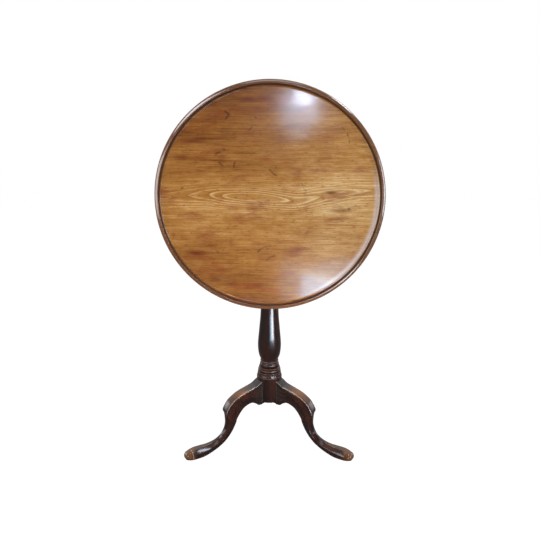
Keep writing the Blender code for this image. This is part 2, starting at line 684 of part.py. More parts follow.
def make_catch(board):
    """A brass case on the underside, with a bolt that slides towards the cage and a knob to draw it."""
    under = PIVOT_DROP - GAP
    centre_y = CATCH_Y - PIVOT_Y
    case = block("catch_case", (CATCH_WIDTH, CATCH_LENGTH, CATCH_DEPTH), parts, tilt)
    case.location = (0, centre_y, under - CATCH_DEPTH / 2)
    flange_size = (CATCH_WIDTH + 2 * CATCH_FLANGE, CATCH_LENGTH, CATCH_FLANGE_THICKNESS)
    flange = block("catch_flange", flange_size, cutters, tilt)
    flange.location = (0, centre_y, under - CATCH_FLANGE_THICKNESS / 2)
    join(case, flange)
    channel_size = (BOLT_WIDTH + 2 * GAP, 2 * CATCH_LENGTH, BOLT_THICKNESS + 2 * GAP)
    channel = block("catch_channel", channel_size, cutters, tilt)
    channel.location = (0, centre_y, 0)
    cut(case, channel)
    nose = CAGE_HALF - PIVOT_Y + BOLT_REACH
    bolt = block("catch_bolt", (BOLT_WIDTH, BOLT_LENGTH, BOLT_THICKNESS), parts, tilt)
    bolt.location = (0, nose + BOLT_LENGTH / 2, 0)
    knob_y = centre_y + BOLT_TRAVEL / 2
    slot_half = KNOB_POST_RADIUS + GAP
    slot_size = (2 * slot_half, BOLT_TRAVEL + 2 * slot_half + 2 * GAP, CATCH_DEPTH)
    slot = block("catch_slot", slot_size, cutters, tilt)
    slot.location = (0, knob_y - BOLT_TRAVEL / 2, -CATCH_DEPTH / 2)
    cut(case, slot)
    under_knob = under - CATCH_DEPTH - KNOB_CLEARANCE
    seat = -BOLT_THICKNESS / 4
    knob_profile = [
        (0, seat), (KNOB_POST_RADIUS, seat), (KNOB_POST_RADIUS, under_knob),
        *((KNOB_RADIUS * out, under_knob - KNOB_THICKNESS * down) for out, down in KNOB_SHAPE),
    ]
    knob = turned("catch_knob", knob_profile, KNOB_SEGMENTS, parts, tilt)
    knob.location = (0, knob_y, 0)
    socket = rod("knob_socket", KNOB_POST_RADIUS + GAP, BOLT_THICKNESS, KNOB_SEGMENTS, cutters, tilt)
    socket.location = (0, knob_y, seat + GAP - BOLT_THICKNESS / 2)
    cut(bolt, socket)
    for side, x in (("left", -1), ("right", 1)):
        for end, y in (("near", -1), ("far", 1)):
            place = (
                x * (CATCH_WIDTH + CATCH_FLANGE) / 2,
                centre_y + y * (CATCH_LENGTH / 2 - CATCH_SCREW_INSET),
                under - CATCH_FLANGE_THICKNESS,
            )
            name = f"catch_screw_{side}_{end}"
            place_screw(name, CATCH_SCREW, place, (pi, 0, 0), tilt, (case, board))
    for item in (case, bolt, knob):
        finish(item, brass)


def centre_on_origin():
    """Moves the whole table so that the origin lies under the middle of its bounding box."""
    bpy.context.view_layer.update()
    seen = bpy.context.evaluated_depsgraph_get()
    corners = []
    for item in parts.objects:
        if item.type == "MESH":
            shape = item.evaluated_get(seen)
            corners += [item.matrix_world @ vertex.co for vertex in shape.data.vertices]
    middle = (min(c.y for c in corners) + max(c.y for c in corners)) / 2
    root.location = (0, -middle, 0)
    print(f"pillar axis at y = {-middle:.5f}, pivot at y = {PIVOT_Y - middle:.5f} z = {PIVOT_Z:.5f}")


clear_scene()
parts = new_collection("tripod_tea_table")
cutters = new_collection("cutters")
figured_mahogany = new_material("figured_mahogany", (0.235, 0.096, 0.032), 0.30)
dark_mahogany = new_material("dark_mahogany", (0.036, 0.013, 0.008), 0.28)
brass = new_material("brass", (0.48, 0.33, 0.12), 0.35, 1.0)
steel = new_material("steel", (0.16, 0.15, 0.14), 0.45, 1.0)

root = new_axis("table", (0, 0, 0))
cage = new_axis("swivel_axis", (0, 0, 0), root)
tilt = new_axis("tilt_axis", (0, PIVOT_Y, PIVOT_Z), cage)
tilt.rotation_euler = (TIPPED, 0, 0)

make_legs()
pillar_piece = make_pillar()
cut_pillar(pillar_piece)
finish(pillar_piece, dark_mahogany)
make_clamp()
make_cage()
make_top()
centre_on_origin()
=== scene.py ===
from math import copysign, cos, pi, radians, sin, sqrt

import bmesh
import bpy
import numpy as np
from mathutils import Matrix, Vector, noise


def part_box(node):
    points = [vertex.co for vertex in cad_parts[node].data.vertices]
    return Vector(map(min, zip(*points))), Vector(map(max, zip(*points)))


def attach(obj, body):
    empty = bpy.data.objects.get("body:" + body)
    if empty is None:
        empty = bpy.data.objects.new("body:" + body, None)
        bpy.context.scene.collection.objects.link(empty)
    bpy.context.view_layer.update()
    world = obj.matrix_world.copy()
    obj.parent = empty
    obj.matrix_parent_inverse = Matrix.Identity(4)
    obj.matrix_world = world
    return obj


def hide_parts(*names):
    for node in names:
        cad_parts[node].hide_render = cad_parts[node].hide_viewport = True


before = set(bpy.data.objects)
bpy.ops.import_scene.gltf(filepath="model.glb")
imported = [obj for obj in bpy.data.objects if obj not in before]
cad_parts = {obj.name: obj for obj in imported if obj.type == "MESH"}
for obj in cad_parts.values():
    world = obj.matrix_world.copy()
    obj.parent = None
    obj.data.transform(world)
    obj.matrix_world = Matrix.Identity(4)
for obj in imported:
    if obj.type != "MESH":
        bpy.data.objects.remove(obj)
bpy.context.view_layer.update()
scene = bpy.context.scene
scene.view_settings.view_transform = "Standard"
print("frame: loaded", len(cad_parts), "nodes")


# Camera: stands higher than the middle of the tipped top and looks down, leaning a quarter of a degree
viewpoint = {"place": (0.0007, -1.7778, 1.0068), "down": 15.4954, "lean": 0.25, "lens": 40.87, "sensor": 36.0}

lens = bpy.data.cameras.new("camera")
lens.lens = viewpoint["lens"]
lens.sensor_width = viewpoint["sensor"]
camera = bpy.data.objects.new("camera", lens)
scene.collection.objects.link(camera)
camera.matrix_world = (
    Matrix.Translation(viewpoint["place"])
    @ Matrix.Rotation(radians(90 - viewpoint["down"]), 4, "X")
    @ Matrix.Rotation(radians(viewpoint["lean"]), 4, "Z")
)
scene.camera = camera
print("camera: set")


# Small tools
def hexColour(code):
    parts = [int(code[i:i + 2], 16) / 255 for i in (1, 3, 5)]
    return (*(c / 12.92 if c <= 0.04045 else ((c + 0.055) / 1.055) ** 2.4 for c in parts), 1.0)


def feed(tree, socket, value):
    # Links a socket or sets its value: a list is added up on its way, a hex code becomes a colour
    if isinstance(value, list):
        total = value[0]
        for more in value[1:]:
            total = addNode(tree, "Math", {0: total, 1: more}, operation="ADD")
        value = total
    if isinstance(value, bpy.types.NodeSocket):
        tree.links.new(value, socket)
    else:
        isHex = isinstance(value, str) and value.startswith("#")
        socket.default_value = hexColour(value) if isHex else value


def addNode(tree, kind, inputs=None, output=0, stops=(), **settings):
    # Adds a node with its settings, links and colour stops, and hands back one of its outputs
    node = tree.nodes.new(kind if "Node" in kind else f"ShaderNode{kind}")
    for name, value in settings.items():
        setattr(node, name, value)
    for key, value in (inputs or {}).items():
        feed(tree, node.inputs[key], value)
    for i, (place, shade) in enumerate(stops):
        scale = node.color_ramp.elements
        stop = scale[i] if i < 2 else scale.new(place)
        stop.position = place
        stop.color = hexColour(shade) if isinstance(shade, str) else (shade, shade, shade, 1.0)
    return node.outputs[output] if len(node.outputs) else node


def addPiece(name, mesh):
    piece = bpy.data.objects.new(name, mesh)
    scene.collection.objects.link(piece)
    return piece


def settle(piece):
    # The modifiers become a plain mesh
    bpy.context.view_layer.update()
    plain = bpy.data.meshes.new_from_object(piece.evaluated_get(bpy.context.evaluated_depsgraph_get()))
    piece.modifiers.clear()
    piece.data = plain
    return piece


def meshFrom(name, points, faces):
    mesh = bpy.data.meshes.new(name)
    mesh.from_pydata([tuple(p) for p in points], [], faces)
    form = bmesh.new()
    form.from_mesh(mesh)
    bmesh.ops.recalc_face_normals(form, faces=form.faces[:])
    form.to_mesh(mesh)
    form.free()
    return mesh


def block(name, low, high):
    corners = [(x, y, z) for x in (low[0], high[0]) for y in (low[1], high[1]) for z in (low[2], high[2])]
    faces = [(0, 1, 3, 2), (4, 6, 7, 5), (0, 4, 5, 1), (2, 3, 7, 6), (0, 2, 6, 4), (1, 5, 7, 3)]
    return addPiece(name, meshFrom(name, corners, faces))


def prism(name, outline, depth, place):
    # A flat outline pulled along its own Z, then set in place
    count = len(outline)
    points = [place @ Vector((x, y, z)) for z in (0, depth) for x, y in outline]
    faces = [tuple(range(count)), tuple(range(count, 2 * count))]
    faces += [(i, (i + 1) % count, count + (i + 1) % count, count + i) for i in range(count)]
    return addPiece(name, meshFrom(name, points, faces))


def rod(name, start, end, radius, segments=48):
    along = Vector(end) - Vector(start)
    place = Matrix.Translation(start) @ along.to_track_quat("Z", "Y").to_matrix().to_4x4()
    turns = [2 * pi * i / segments for i in range(segments)]
    return prism(name, [(radius * cos(t), radius * sin(t)) for t in turns], along.length, place)


def carve(piece, *cutters, operation="DIFFERENCE"):
    for cutter in cutters:
        step = piece.modifiers.new(cutter.name, "BOOLEAN")
        step.operation = operation
        step.object = cutter
    settle(piece)
    for cutter in cutters:
        bpy.data.objects.remove(cutter)
    return piece


def softenEdges(piece, width, segments=3, sharpest=35):
    edge = piece.modifiers.new("edges", "BEVEL")
    edge.width = width
    edge.segments = segments
    edge.limit_method = "ANGLE"
    edge.angle_limit = radians(sharpest)
    piece.data.shade_smooth()
    piece.modifiers.new("normals", "WEIGHTED_NORMAL").keep_sharp = True
    return settle(piece)


def smoothFaces(piece, angle=35):
    piece.data.shade_smooth()
    piece.data.set_sharp_from_angle(angle=radians(angle))
    return piece


def dress(piece, *finishes):
    piece.data.materials.clear()
    for finish in finishes:
        piece.data.materials.append(finish)
    return piece


def mount(piece, body, slot, *replaced):
    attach(piece, body)
    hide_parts(*replaced)
    return piece


def run(start, end, steps=8):
    # Even steps along a straight line, without its start
    return [tuple(a + (b - a) * i / steps for a, b in zip(start, end)) for i in range(1, steps + 1)]


def arc(centre, radius, start, end, steps=12):
    turns = [radians(start + (end - start) * i / steps) for i in range(steps + 1)]
    return [(centre[0] + radius * cos(t), centre[1] + radius * sin(t)) for t in turns]


def spline(points, steps=12):
    # A Catmull-Rom curve through all the points
    points = [np.array(p, float) for p in points]
    padded = [2 * points[0] - points[1], *points, 2 * points[-1] - points[-2]]
    curve = []
    for a, b, c, d in zip(padded, padded[1:], padded[2:], padded[3:]):
        for t in (i / steps for i in range(steps)):
            curve.append(
                b + (c - a) * t / 2 + (a - 2.5 * b + 2 * c - d / 2) * t**2
                + (1.5 * b - a / 2 - 1.5 * c + d / 2) * t**3
            )
    return [tuple(p) for p in (*curve, points[-1])]


def fade(value, start, end):
    # From 0 at the start to 1 at the end
    return np.clip((value - start) / (end - start), 0, 1)


def hump(value, middle, width):
    return np.exp(-(((value - middle) / width) ** 2))


def setAttribute(mesh, name, values, kind="FLOAT"):
    layer = mesh.attributes.get(name) or mesh.attributes.new(name, kind, "POINT")
    key = "vector" if kind == "FLOAT_VECTOR" else "value"
    layer.data.foreach_set(key, np.asarray(values, np.float32).ravel())


# Geometry Nodes: a lathe for turned work, and a tree that sets one shape out at points
lathe = {"pathRadius": 0.1, "weld": 0.00002, "sharp": 40, "wearSpan": 0.004, "wearFull": 0.0012}
tipped = Matrix.Rotation(radians(90), 4, "X")  # Z comes to the front


def makeTree(name, sockets, result):
    tree = bpy.data.node_groups.new(name, "GeometryNodeTree")
    for label, kind in sockets:
        tree.interface.new_socket(label, in_out="INPUT", socket_type=f"NodeSocket{kind}")
    tree.interface.new_socket(result, in_out="OUTPUT", socket_type="NodeSocketGeometry")
    return tree, addNode(tree, "NodeGroupInput").node.outputs


def endTree(tree, shape, given, result):
    whole = addNode(tree, "GeometryNodeRealizeInstances", {"Geometry": shape})
    finished = addNode(tree, "GeometryNodeSetMaterial", {"Geometry": whole, "Material": given["Finish"]})
    addNode(tree, "NodeGroupOutput", {result: finished})
    return tree


def makeLatheTree():
    tree, given = makeTree(
        "turnOnLathe",
        (("Profile", "Geometry"), ("Segments", "Int"), ("Path radius", "Float"), ("Finish", "Material")),
        "Turned",
    )
    line = addNode(tree, "GeometryNodeMeshToCurve", {"Mesh": given["Profile"]})
    path = addNode(
        tree, "GeometryNodeCurvePrimitiveCircle",
        {"Resolution": given["Segments"], "Radius": given["Path radius"]},
    )
    swept = addNode(tree, "GeometryNodeCurveToMesh", {"Curve": path, "Profile Curve": line})
    welded = addNode(tree, "GeometryNodeMergeByDistance", {"Geometry": swept, "Distance": lathe["weld"]})
    return endTree(tree, welded, given, "Turned")


def makeSetOutTree():
    tree, given = makeTree(
        "setOutAtPoints", (("Points", "Geometry"), ("Shape", "Object"), ("Finish", "Material")), "Set out"
    )
    shape = addNode(tree, "GeometryNodeObjectInfo", {"Object": given["Shape"]}, output="Geometry")
    turn = addNode(
        tree, "GeometryNodeInputNamedAttribute", {"Name": "turn"}, "Attribute", data_type="FLOAT_VECTOR"
    )
    spin = addNode(tree, "FunctionNodeEulerToRotation", {0: turn})
    placed = addNode(
        tree, "GeometryNodeInstanceOnPoints", {"Points": given["Points"], "Instance": shape, "Rotation": spin}
    )
    return endTree(tree, placed, given, "Set out")


latheTree = makeLatheTree()
setOutTree = makeSetOutTree()


def runTree(piece, tree, **values):
    step = piece.modifiers.new(tree.name, "NODES")
    step.node_group = tree
    for socket in tree.interface.items_tree:
        key = socket.name.replace(" ", "")
        if socket.in_out == "INPUT" and key in values:
            step[socket.identifier] = values[key]
    return settle(piece)


def proudAlong(profile):
    # Above 0 where the turned line stands proud of its own average, below 0 in its hollows: crowns get wear
    # and a painted highlight from it, hollows are darkened
    line = np.array(profile, float)
    steps = np.linalg.norm(np.diff(line, axis=0), axis=1)
    place = np.concatenate([[0], np.cumsum(steps)])
    share = hump(place[:, None], place[None, :], lathe["wearSpan"]) * np.gradient(place)[None, :]
    mean = share @ line[:, 0] / share.sum(1)
    return np.clip((line[:, 0] - mean) / lathe["wearFull"], -1, 1)


def turnPiece(name, profile, segments, finish, place=None):
    # The profile is (radius, height), running down the outer side
    mesh = bpy.data.meshes.new(name)
    points = [(r - lathe["pathRadius"], -z, 0) for r, z in profile]
    mesh.from_pydata(points, [(i, i + 1) for i in range(len(points) - 1)], [])
    setAttribute(mesh, "wear", proudAlong(profile))
    piece = addPiece(name, mesh)
    runTree(piece, latheTree, Segments=segments, Pathradius=lathe["pathRadius"], Finish=finish)
    if place is not None:
        piece.data.transform(place)
    return smoothFaces(piece, lathe["sharp"])


def setOut(name, shape, places, turns, finish):
    mesh = bpy.data.meshes.new(name)
    mesh.from_pydata([tuple(p) for p in places], [], [])
    setAttribute(mesh, "turn", turns, "FLOAT_VECTOR")
    piece = addPiece(name, mesh)
    runTree(piece, setOutTree, Shape=shape, Finish=finish)
    bpy.data.objects.remove(shape)
    return piece


print("tools: lathe and set-out trees made")


# Finishes
def newFinish(name):
    finish = bpy.data.materials.new(name)
    finish.use_nodes = True
    tree = finish.node_tree
    return finish, tree, tree.nodes["Principled BSDF"]


def mapped(value, *ends):
    # The inputs of a Map Range: a value, the stretch of it that counts, and what its ends become
    return {"Value": value, **dict(zip(("From Min", "From Max", "To Min", "To Max"), ends))}


noiseSpan = (0.25, 0.75)  # nearly all of a noise lies between these


def addGrain(tree, vector, sizes, swing, detail=3.0, roughness=0.55):
    # One layer of figure, swinging either way: sizes in millimetres along X, Y and Z, 0 for an even axis
    cycles = tuple(1000 / size if size else 0.0 for size in sizes)
    laid = addNode(tree, "Mapping", {"Vector": vector, "Scale": cycles})
    weave = {"Vector": laid, "Scale": 1.0, "Detail": detail, "Roughness": roughness}
    return addNode(tree, "MapRange", mapped(addNode(tree, "TexNoise", weave), *noiseSpan, -swing, swing))


def layOver(tree, colour, layers):
    # Colours laid over one another: a share, and the colour that it brings
    for share, shade in layers:
        colour = addNode(tree, "Mix", {0: share, 6: colour, 7: shade}, output=2, data_type="RGBA")
    return colour


def polish(tree, shader, look, colour, rough, height):
    bump = addNode(tree, "Bump", {"Height": height, "Strength": look["bump"], "Distance": look["bumpHeight"]})
    surface = {
        "Base Color": colour, "Roughness": rough, "Normal": bump, "Specular IOR Level": look["gloss"],
        "Coat Weight": look["coat"], "Coat Roughness": look["coatRoughness"],
        "Metallic": look.get("metal", 0.0),
    }
    for name, value in surface.items():
        feed(tree, shader.inputs[name], value)


boardLow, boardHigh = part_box("top_board")
boardCentre = (boardLow + boardHigh) / 2

# French-polished plain-sawn mahogany: golden, with an oval figure, redder and darker where polish gathers
boardLook = {
    "tones": ((0.0, "#361504"), (0.22, "#5E3110"), (0.45, "#875320"), (0.65, "#A46E32"), (0.85, "#C09055"),
              (1.0, "#D6B07A")),
    # The near-black "#1A0E09" is painted shade in the groove and below the edge, with some dirt
    "red": "#7C3413", "stain": "#64270D", "mark": "#1A0B05", "grime": "#1A0E09", "rim": "#643A1D",
    # The pale "#D2BDB2" is a painted reflection along the cove on the right
    "pale": "#D2BDB2", "gloss": 0.22, "roughness": 0.21, "coat": 0.48, "coatRoughness": 0.09, "bump": 0.5,
    "bumpHeight": 0.00035, "grimeRough": 0.2, "dent": -0.1, "blotch": 0.98,
    # Growth rings, each a slow brown rise to a thin pale line
    "rings": 2.0, "ringStart": 0.9, "ringMean": -0.45,
    "ringTones": ((0.0, 0.12), (0.15, 0.32), (0.5, 0.42), (0.7, 0.76), (0.86, 1.0), (1.0, 0.16)),
    # Layers of figure: length and width in millimetres, swing, and for some their detail and roughness.
    # Dashes are the pores and dots the nicks, both drawn coarser than life so that they show
    "layers": {
        "ripple": (143, 33.3, 0.05), "bands": (455, 58.8, 0.14), "streaks": (278, 8.33, 0.09, 4.0, 0.65),
        "threads": (111, 3.7, 0.12, 2.0), "mottle": (41.7, 11.1, 0.14, 6.0, 0.75),
        "patches": (111, 29.4, 0.5, 4.0, 0.6), "dashes": (16.7, 2.94, 0.5, 2.0),
        "dots": (11.1, 6.67, 0.5, 2.0), "haze": (111, 33.3, 0.08), "scuffs": (33.3, 5.26, 0.08),
    },
    # Shares drawn from a layer or a map: the stretch of it that counts, and what the ends become
    "shares": {
        "ringShare": ("figure", 1.5, 3.6, 0.46, 0.06), "heart": ("figure", 0.65, 0.9),
        "calm": ("figure", 0.8, 3.5, 0.4, 1.0), "reddened": ("patches", 0.05, 0.4, 0.0, 0.66),
        "pores": ("dashes", 0.15, 0.38, 0.0, 0.55), "nicks": ("dots", 0.32, 0.46, 0.0, 0.55),
    },
}
# The groove inside the lip, dulled by old wax and dirt
grooveLook = {"gloss": 0.25, "roughness": 0.5, "coat": 0.0, "bump": 0.1}
# The lip, kept brighter than the field by every hand that tips the top
lipLook = {"gloss": 0.9, "roughness": 0.15, "coat": 0.5, "coatRoughness": 0.12, "bump": 0.15}


def makeBoardFinish(name, look):
    finish, tree, shader = newFinish(name)
    place = addNode(tree, "TexCoord", output="Object")
    centred = addNode(tree, "Mapping", {"Vector": place, "Location": -boardCentre})
    parts = {
        key: addNode(tree, "Attribute", output="Fac", attribute_name=key)
        for key in ("tone", "figure", "mark", "stain", "grime", "rim", "pale")
    }
    for key, (length, width, *rest) in look["layers"].items():
        parts[key] = addGrain(tree, centred, (length, 0, width), *rest)
    for key, (source, *ends) in look["shares"].items():
        parts[key] = addNode(tree, "MapRange", mapped(parts[source], *ends))

    phase = addNode(
        tree, "Math", {0: parts["figure"], 1: look["rings"], 2: look["ringStart"]}, operation="MULTIPLY_ADD"
    )
    turn = addNode(tree, "Math", {0: [phase, parts["ripple"]]}, operation="FRACT")
    ring = addNode(tree, "ValToRGB", {"Fac": turn}, stops=look["ringTones"])
    share = addNode(tree, "Math", {0: parts["ringShare"], 1: parts["heart"]}, operation="MULTIPLY")
    ringTone = addNode(tree, "Math", {0: [ring, look["ringMean"]], 1: share}, operation="MULTIPLY")
    figure = [parts[key] for key in ("bands", "streaks", "threads", "mottle")]
    grain = addNode(tree, "Math", {0: figure, 1: parts["calm"], 2: parts["tone"]}, operation="MULTIPLY_ADD")
    colour = addNode(tree, "ValToRGB", {"Fac": [grain, ringTone]}, stops=look["tones"])

    blotches = [look["blotch"], parts["mottle"], parts["mottle"]]
    blotched = addNode(tree, "Math", {0: parts["stain"], 1: blotches}, operation="MULTIPLY")
    layers = [(parts["reddened"], look["red"])]
    layers += [(share, look["stain"]) for share in (blotched, parts["pores"], parts["nicks"])]
    layers += [(parts[key], look[key]) for key in ("mark", "pale", "rim", "grime")]
    dullWhereShaded = addNode(tree, "Math", {0: parts["grime"], 1: look["grimeRough"]}, operation="MULTIPLY")
    dents = addNode(tree, "Math", {0: parts["mark"], 1: look["dent"]}, operation="MULTIPLY")
    rough = [look["roughness"], parts["haze"], parts["scuffs"], dullWhereShaded]
    height = [parts["streaks"], parts["mottle"], parts["threads"], dents]
    polish(tree, shader, look, layOver(tree, colour, layers), rough, height)
    return finish


# The dark woods: sizes of grain and patches in millimetres along X, Y and Z, and what wear, rubbing, darkening
# and painted highlights lay over them, as (map, where it starts, where it is full, share there, colour)
woodGrain = {
    "swing": (0.3, 3.0, 0.6), "patchSwing": 0.25, "middle": 0.48, "uneven": 0.82, "roughSwing": 0.1,
    "overlayRough": 0.15,
}
plainWood = {"overlays": (), "coat": 0.0, "coatRoughness": 0.1, "bump": 0.5}
woodLooks = {
    # Underside of the top: left bare, dull and browned by air
    "bareAgedMahogany": plainWood | {
        "tones": ((0.0, "#2C1B11"), (0.5, "#4C3322"), (1.0, "#6C4C34")), "grain": (416.7, 100, 11.765),
        "patch": (200, 200, 142.9), "gloss": 0.2, "roughness": 0.72, "bumpHeight": 0.0004,
    },
    # Turned work: stained near black and waxed, red where the light goes in, worn on crowns with a painted
    # highlight, darker in hollows
    "ebonisedTurnedMahogany": {
        "tones": ((0.0, "#0C0402"), (0.4, "#1A0A05"), (0.7, "#2E1208"), (1.0, "#4C200E")),
        "grain": (13.33, 13.33, 250), "patch": (62.5, 62.5, 125),
        # Pale "#71493A" on the crowns is wear with a painted highlight; "#15110E" darkens the hollows
        "overlays": (("wear", 0.25, 1.0, 0.75, "#71493A"), ("wear", -0.1, -0.8, 0.8, "#15110E")),
        "gloss": 0.2, "roughness": 0.3, "coat": 0.4, "coatRoughness": 0.09, "bump": 0.02,
        "bumpHeight": 0.0002,
    },
    # Cage plates: the same stain over straight grain that runs across
    "ebonisedCageMahogany": plainWood | {
        "tones": ((0.0, "#110806"), (0.4, "#20100B"), (0.7, "#341910"), (1.0, "#4C2817")),
        "grain": (250, 12.5, 12.5), "patch": (62.5, 62.5, 62.5), "gloss": 0.22, "roughness": 0.38,
        "coat": 0.12, "coatRoughness": 0.15, "bump": 0.4, "bumpHeight": 0.0003,
    },
    # Legs: grain runs down the leg, rubbed golden on knees and toes, a painted highlight along the arris, grey
    # in the roots
    "ebonisedLegMahogany": {
        "tones": ((0.0, "#100502"), (0.4, "#200B04"), (0.7, "#3E1708"), (1.0, "#5C260E")),
        "along": "grain", "grain": (200, 11.11, 11.11), "patch": (38.46, 38.46, 38.46),
        # The pale "#C9BDB2" is a painted highlight along the arris; the near-black "#1B1C19" darkens the roots
        # by the drum
        "overlays": (("rub", 0.0, 1.0, 0.88, "#804D20"), ("grime", 0.0, 1.0, 0.8, "#1B1C19"),
                     ("wear", 0.0, 1.0, 1.0, "#C9BDB2"), ("mark", 0.0, 1.0, 1.0, "#C9B5A0")),
        "gloss": 0.05, "roughness": 0.36, "coat": 0.9, "coatRoughness": 0.17, "bump": 0.0,
        "bumpHeight": 0.0002,
    },
    # Bearers: plain battens, waxed and never polished
    "waxedMahogany": plainWood | {
        "tones": ((0.0, "#22140C"), (0.5, "#3D2616"), (1.0, "#5C3C24")), "grain": (11.11, 11.11, 250),
        "patch": (71.43, 71.43, 166.7), "gloss": 0.25, "roughness": 0.55, "bumpHeight": 0.0003,
    },
}


def makeWoodFinish(name):
    look = woodLooks[name]
    finish, tree, shader = newFinish(name)
    place = addNode(tree, "TexCoord", output="Object")
    laid = place
    if "along" in look:
        laid = addNode(tree, "Attribute", output="Vector", attribute_name=look["along"])
    grain = addGrain(tree, laid, look["grain"], *woodGrain["swing"])
    patch = addGrain(tree, place, look["patch"], woodGrain["patchSwing"])
    colour = addNode(tree, "ValToRGB", {"Fac": [woodGrain["middle"], grain, patch]}, stops=look["tones"])
    uneven = addNode(tree, "Math", {0: [woodGrain["uneven"], grain, patch], 1: patch}, operation="ADD")
    rough = addNode(
        tree, "Math", {0: grain, 1: woodGrain["roughSwing"], 2: look["roughness"]}, operation="MULTIPLY_ADD"
    )
    layers = []
    for key, start, full, most, shade in look["overlays"]:
        value = addNode(tree, "Attribute", output="Fac", attribute_name=key)
        share = addNode(tree, "MapRange", mapped(value, start, full, 0.0, most))
        strength = addNode(tree, "Math", {0: share, 1: uneven}, operation="MULTIPLY", use_clamp=True)
        layers.append((strength, shade))
        rougher = {0: share, 1: woodGrain["overlayRough"], 2: rough}
        rough = addNode(tree, "Math", rougher, operation="MULTIPLY_ADD")
    polish(tree, shader, look, layOver(tree, colour, layers), rough, grain)
    return finish


# Metals: brass rubbed bright by hands and brown where they do not reach; iron screws, blackened
metalGrain = {
    "patina": (0.4, 4.0, 0.6), "filed": (0.5, 2.0), "finer": (12, 3, 2), "middle": 0.5, "roughSwing": -0.25,
}
bareMetal = {"gloss": 0.5, "coat": 0.0, "coatRoughness": 0.1, "metal": 1.0, "bump": 0.3, "bumpHeight": 0.0002}
metalLooks = {
    "handledBrass": bareMetal | {
        "tones": ((0.0, "#4A3415"), (0.5, "#8E6C33"), (1.0, "#B8934F")), "patch": 16.67, "roughness": 0.36,
    },
    "blackenedIron": bareMetal | {
        "tones": ((0.0, "#1C1917"), (0.5, "#38332F"), (1.0, "#5A4A3E")), "patch": 5.556, "roughness": 0.48,
    },
}


def makeMetalFinish(name):
    look = metalLooks[name]
    finish, tree, shader = newFinish(name)
    place = addNode(tree, "TexCoord", output="Object")
    patina = addGrain(tree, place, 3 * (look["patch"],), *metalGrain["patina"])
    strokes = [look["patch"] / finer for finer in metalGrain["finer"]]
    filed = addGrain(tree, place, strokes, *metalGrain["filed"])
    colour = addNode(tree, "ValToRGB", {"Fac": [metalGrain["middle"], patina]}, stops=look["tones"])
    rough = addNode(
        tree, "Math", {0: patina, 1: metalGrain["roughSwing"], 2: look["roughness"]}, operation="MULTIPLY_ADD"
    )
    polish(tree, shader, look, colour, rough, filed)
    return finish


boardFinish = makeBoardFinish("frenchPolishedMahogany", boardLook)
lipFinish = makeBoardFinish("handPolishedMahoganyLip", boardLook | lipLook)
grooveFinish = makeBoardFinish("dulledMahoganyGroove", boardLook | grooveLook)
undersideFinish, turnedFinish, cageFinish, legFinish, bearerFinish = map(makeWoodFinish, woodLooks)
brassFinish, ironFinish = map(makeMetalFinish, metalLooks)
print("finishes: ten made")


# Top board: one turned disc with a flat field, a cove, a bead and a broad lip
topSize = {
    "radius": (boardHigh.z - boardLow.z) / 2, "field": 0.0112, "flat": 0.2862, "ringStep": 0.0026,
    "coveEdge": 0.2922, "coveRise": 0.003, "coveSteps": 14, "quirk": 0.001, "quirkStart": 0.0003,
    "quirkEnd": 0.0002, "bead": (0.2937, 0.0141, 0.0009), "beadArc": (190, -20, 10), "curveSteps": 5,
    "backSteps": 6, "segments": 440, "wave": 0.00022, "back": 0.0005, "grooveLap": 0.001,
    # The lip, from its groove over an inner crest and down a long outward slope, then the undercut edge
    "lip": ((-0.0113, 0.0134), (-0.0112, 0.0156), (-0.0109, 0.018), (-0.0101, 0.0194), (-0.0089, 0.0198),
            (-0.007, 0.0195), (-0.005, 0.0188), (-0.003, 0.0179), (-0.0014, 0.0168), (-0.0004, 0.0156),
            (0.0, 0.0142)),
    "under": ((-0.0004, 0.0122), (-0.0024, 0.0086), (-0.0065, 0.0042), (-0.0125, 0.0014), (-0.0195, 0.0)),
}
# Dents and scratches, in millimetres across and up from the middle: path, half width, depth of tone
topMarks = (
    (((-115.9, 225.9), (-106.1, 218.2), (-114.2, 206.8)), 1.6, 0.8),
    (((-47.2, 187.1), (-54.9, 179.6)), 1.2, 0.7),
    (((-39.0, 211.5), (-36.0, 210.0)), 1.4, 0.7),
    (((-141.5, 119.6), (-131.3, 123.5)), 1.6, 0.7),
    (((-133.6, 96.2), (-124.1, 88.2)), 1.4, 0.7),
    (((-91.8, 97.9), (-94.6, 91.0), (-94.6, 85.0)), 1.3, 0.8),
    (((-2.0, 78.9), (8.0, 68.0), (16.1, 62.8)), 1.2, 0.7),
    (((82.9, 44.0), (94.9, 19.0)), 0.9, 0.4),
    (((184.2, 185.6), (190.7, 181.4)), 1.4, 0.7),
    (((198.8, 171.8), (200.1, 165.5)), 1.3, 0.7),
    (((204.6, 156.2), (205.0, 146.6)), 1.1, 0.6),
    (((-32.1, -142.1), (-26.0, -136.0)), 1.7, 0.8),
    (((-26.0, -136.0), (-17.7, -131.1), (3.1, -126.6)), 1.2, 0.5),
    (((-9.2, -165.8), (3.3, -156.7), (13.6, -154.4)), 1.3, 0.6),
    (((-233.5, 28.7), (-231.0, 30.6)), 1.6, 0.8),
    (((-121.0, 129.6), (-119.0, 129.6)), 1.6, 0.7),
    (((209.5, -23.5), (211.5, -26.0)), 1.8, 0.9),
    (((-142.0, -143.0), (-139.0, -145.0)), 1.6, 0.7),
    (((-96.0, 171.0), (-90.0, 174.0)), 1.0, 0.4),
    (((60.0, -60.0), (67.0, -54.0)), 1.0, 0.5),
    (((96.0, -92.0), (104.0, -86.0)), 1.4, 0.5),
)
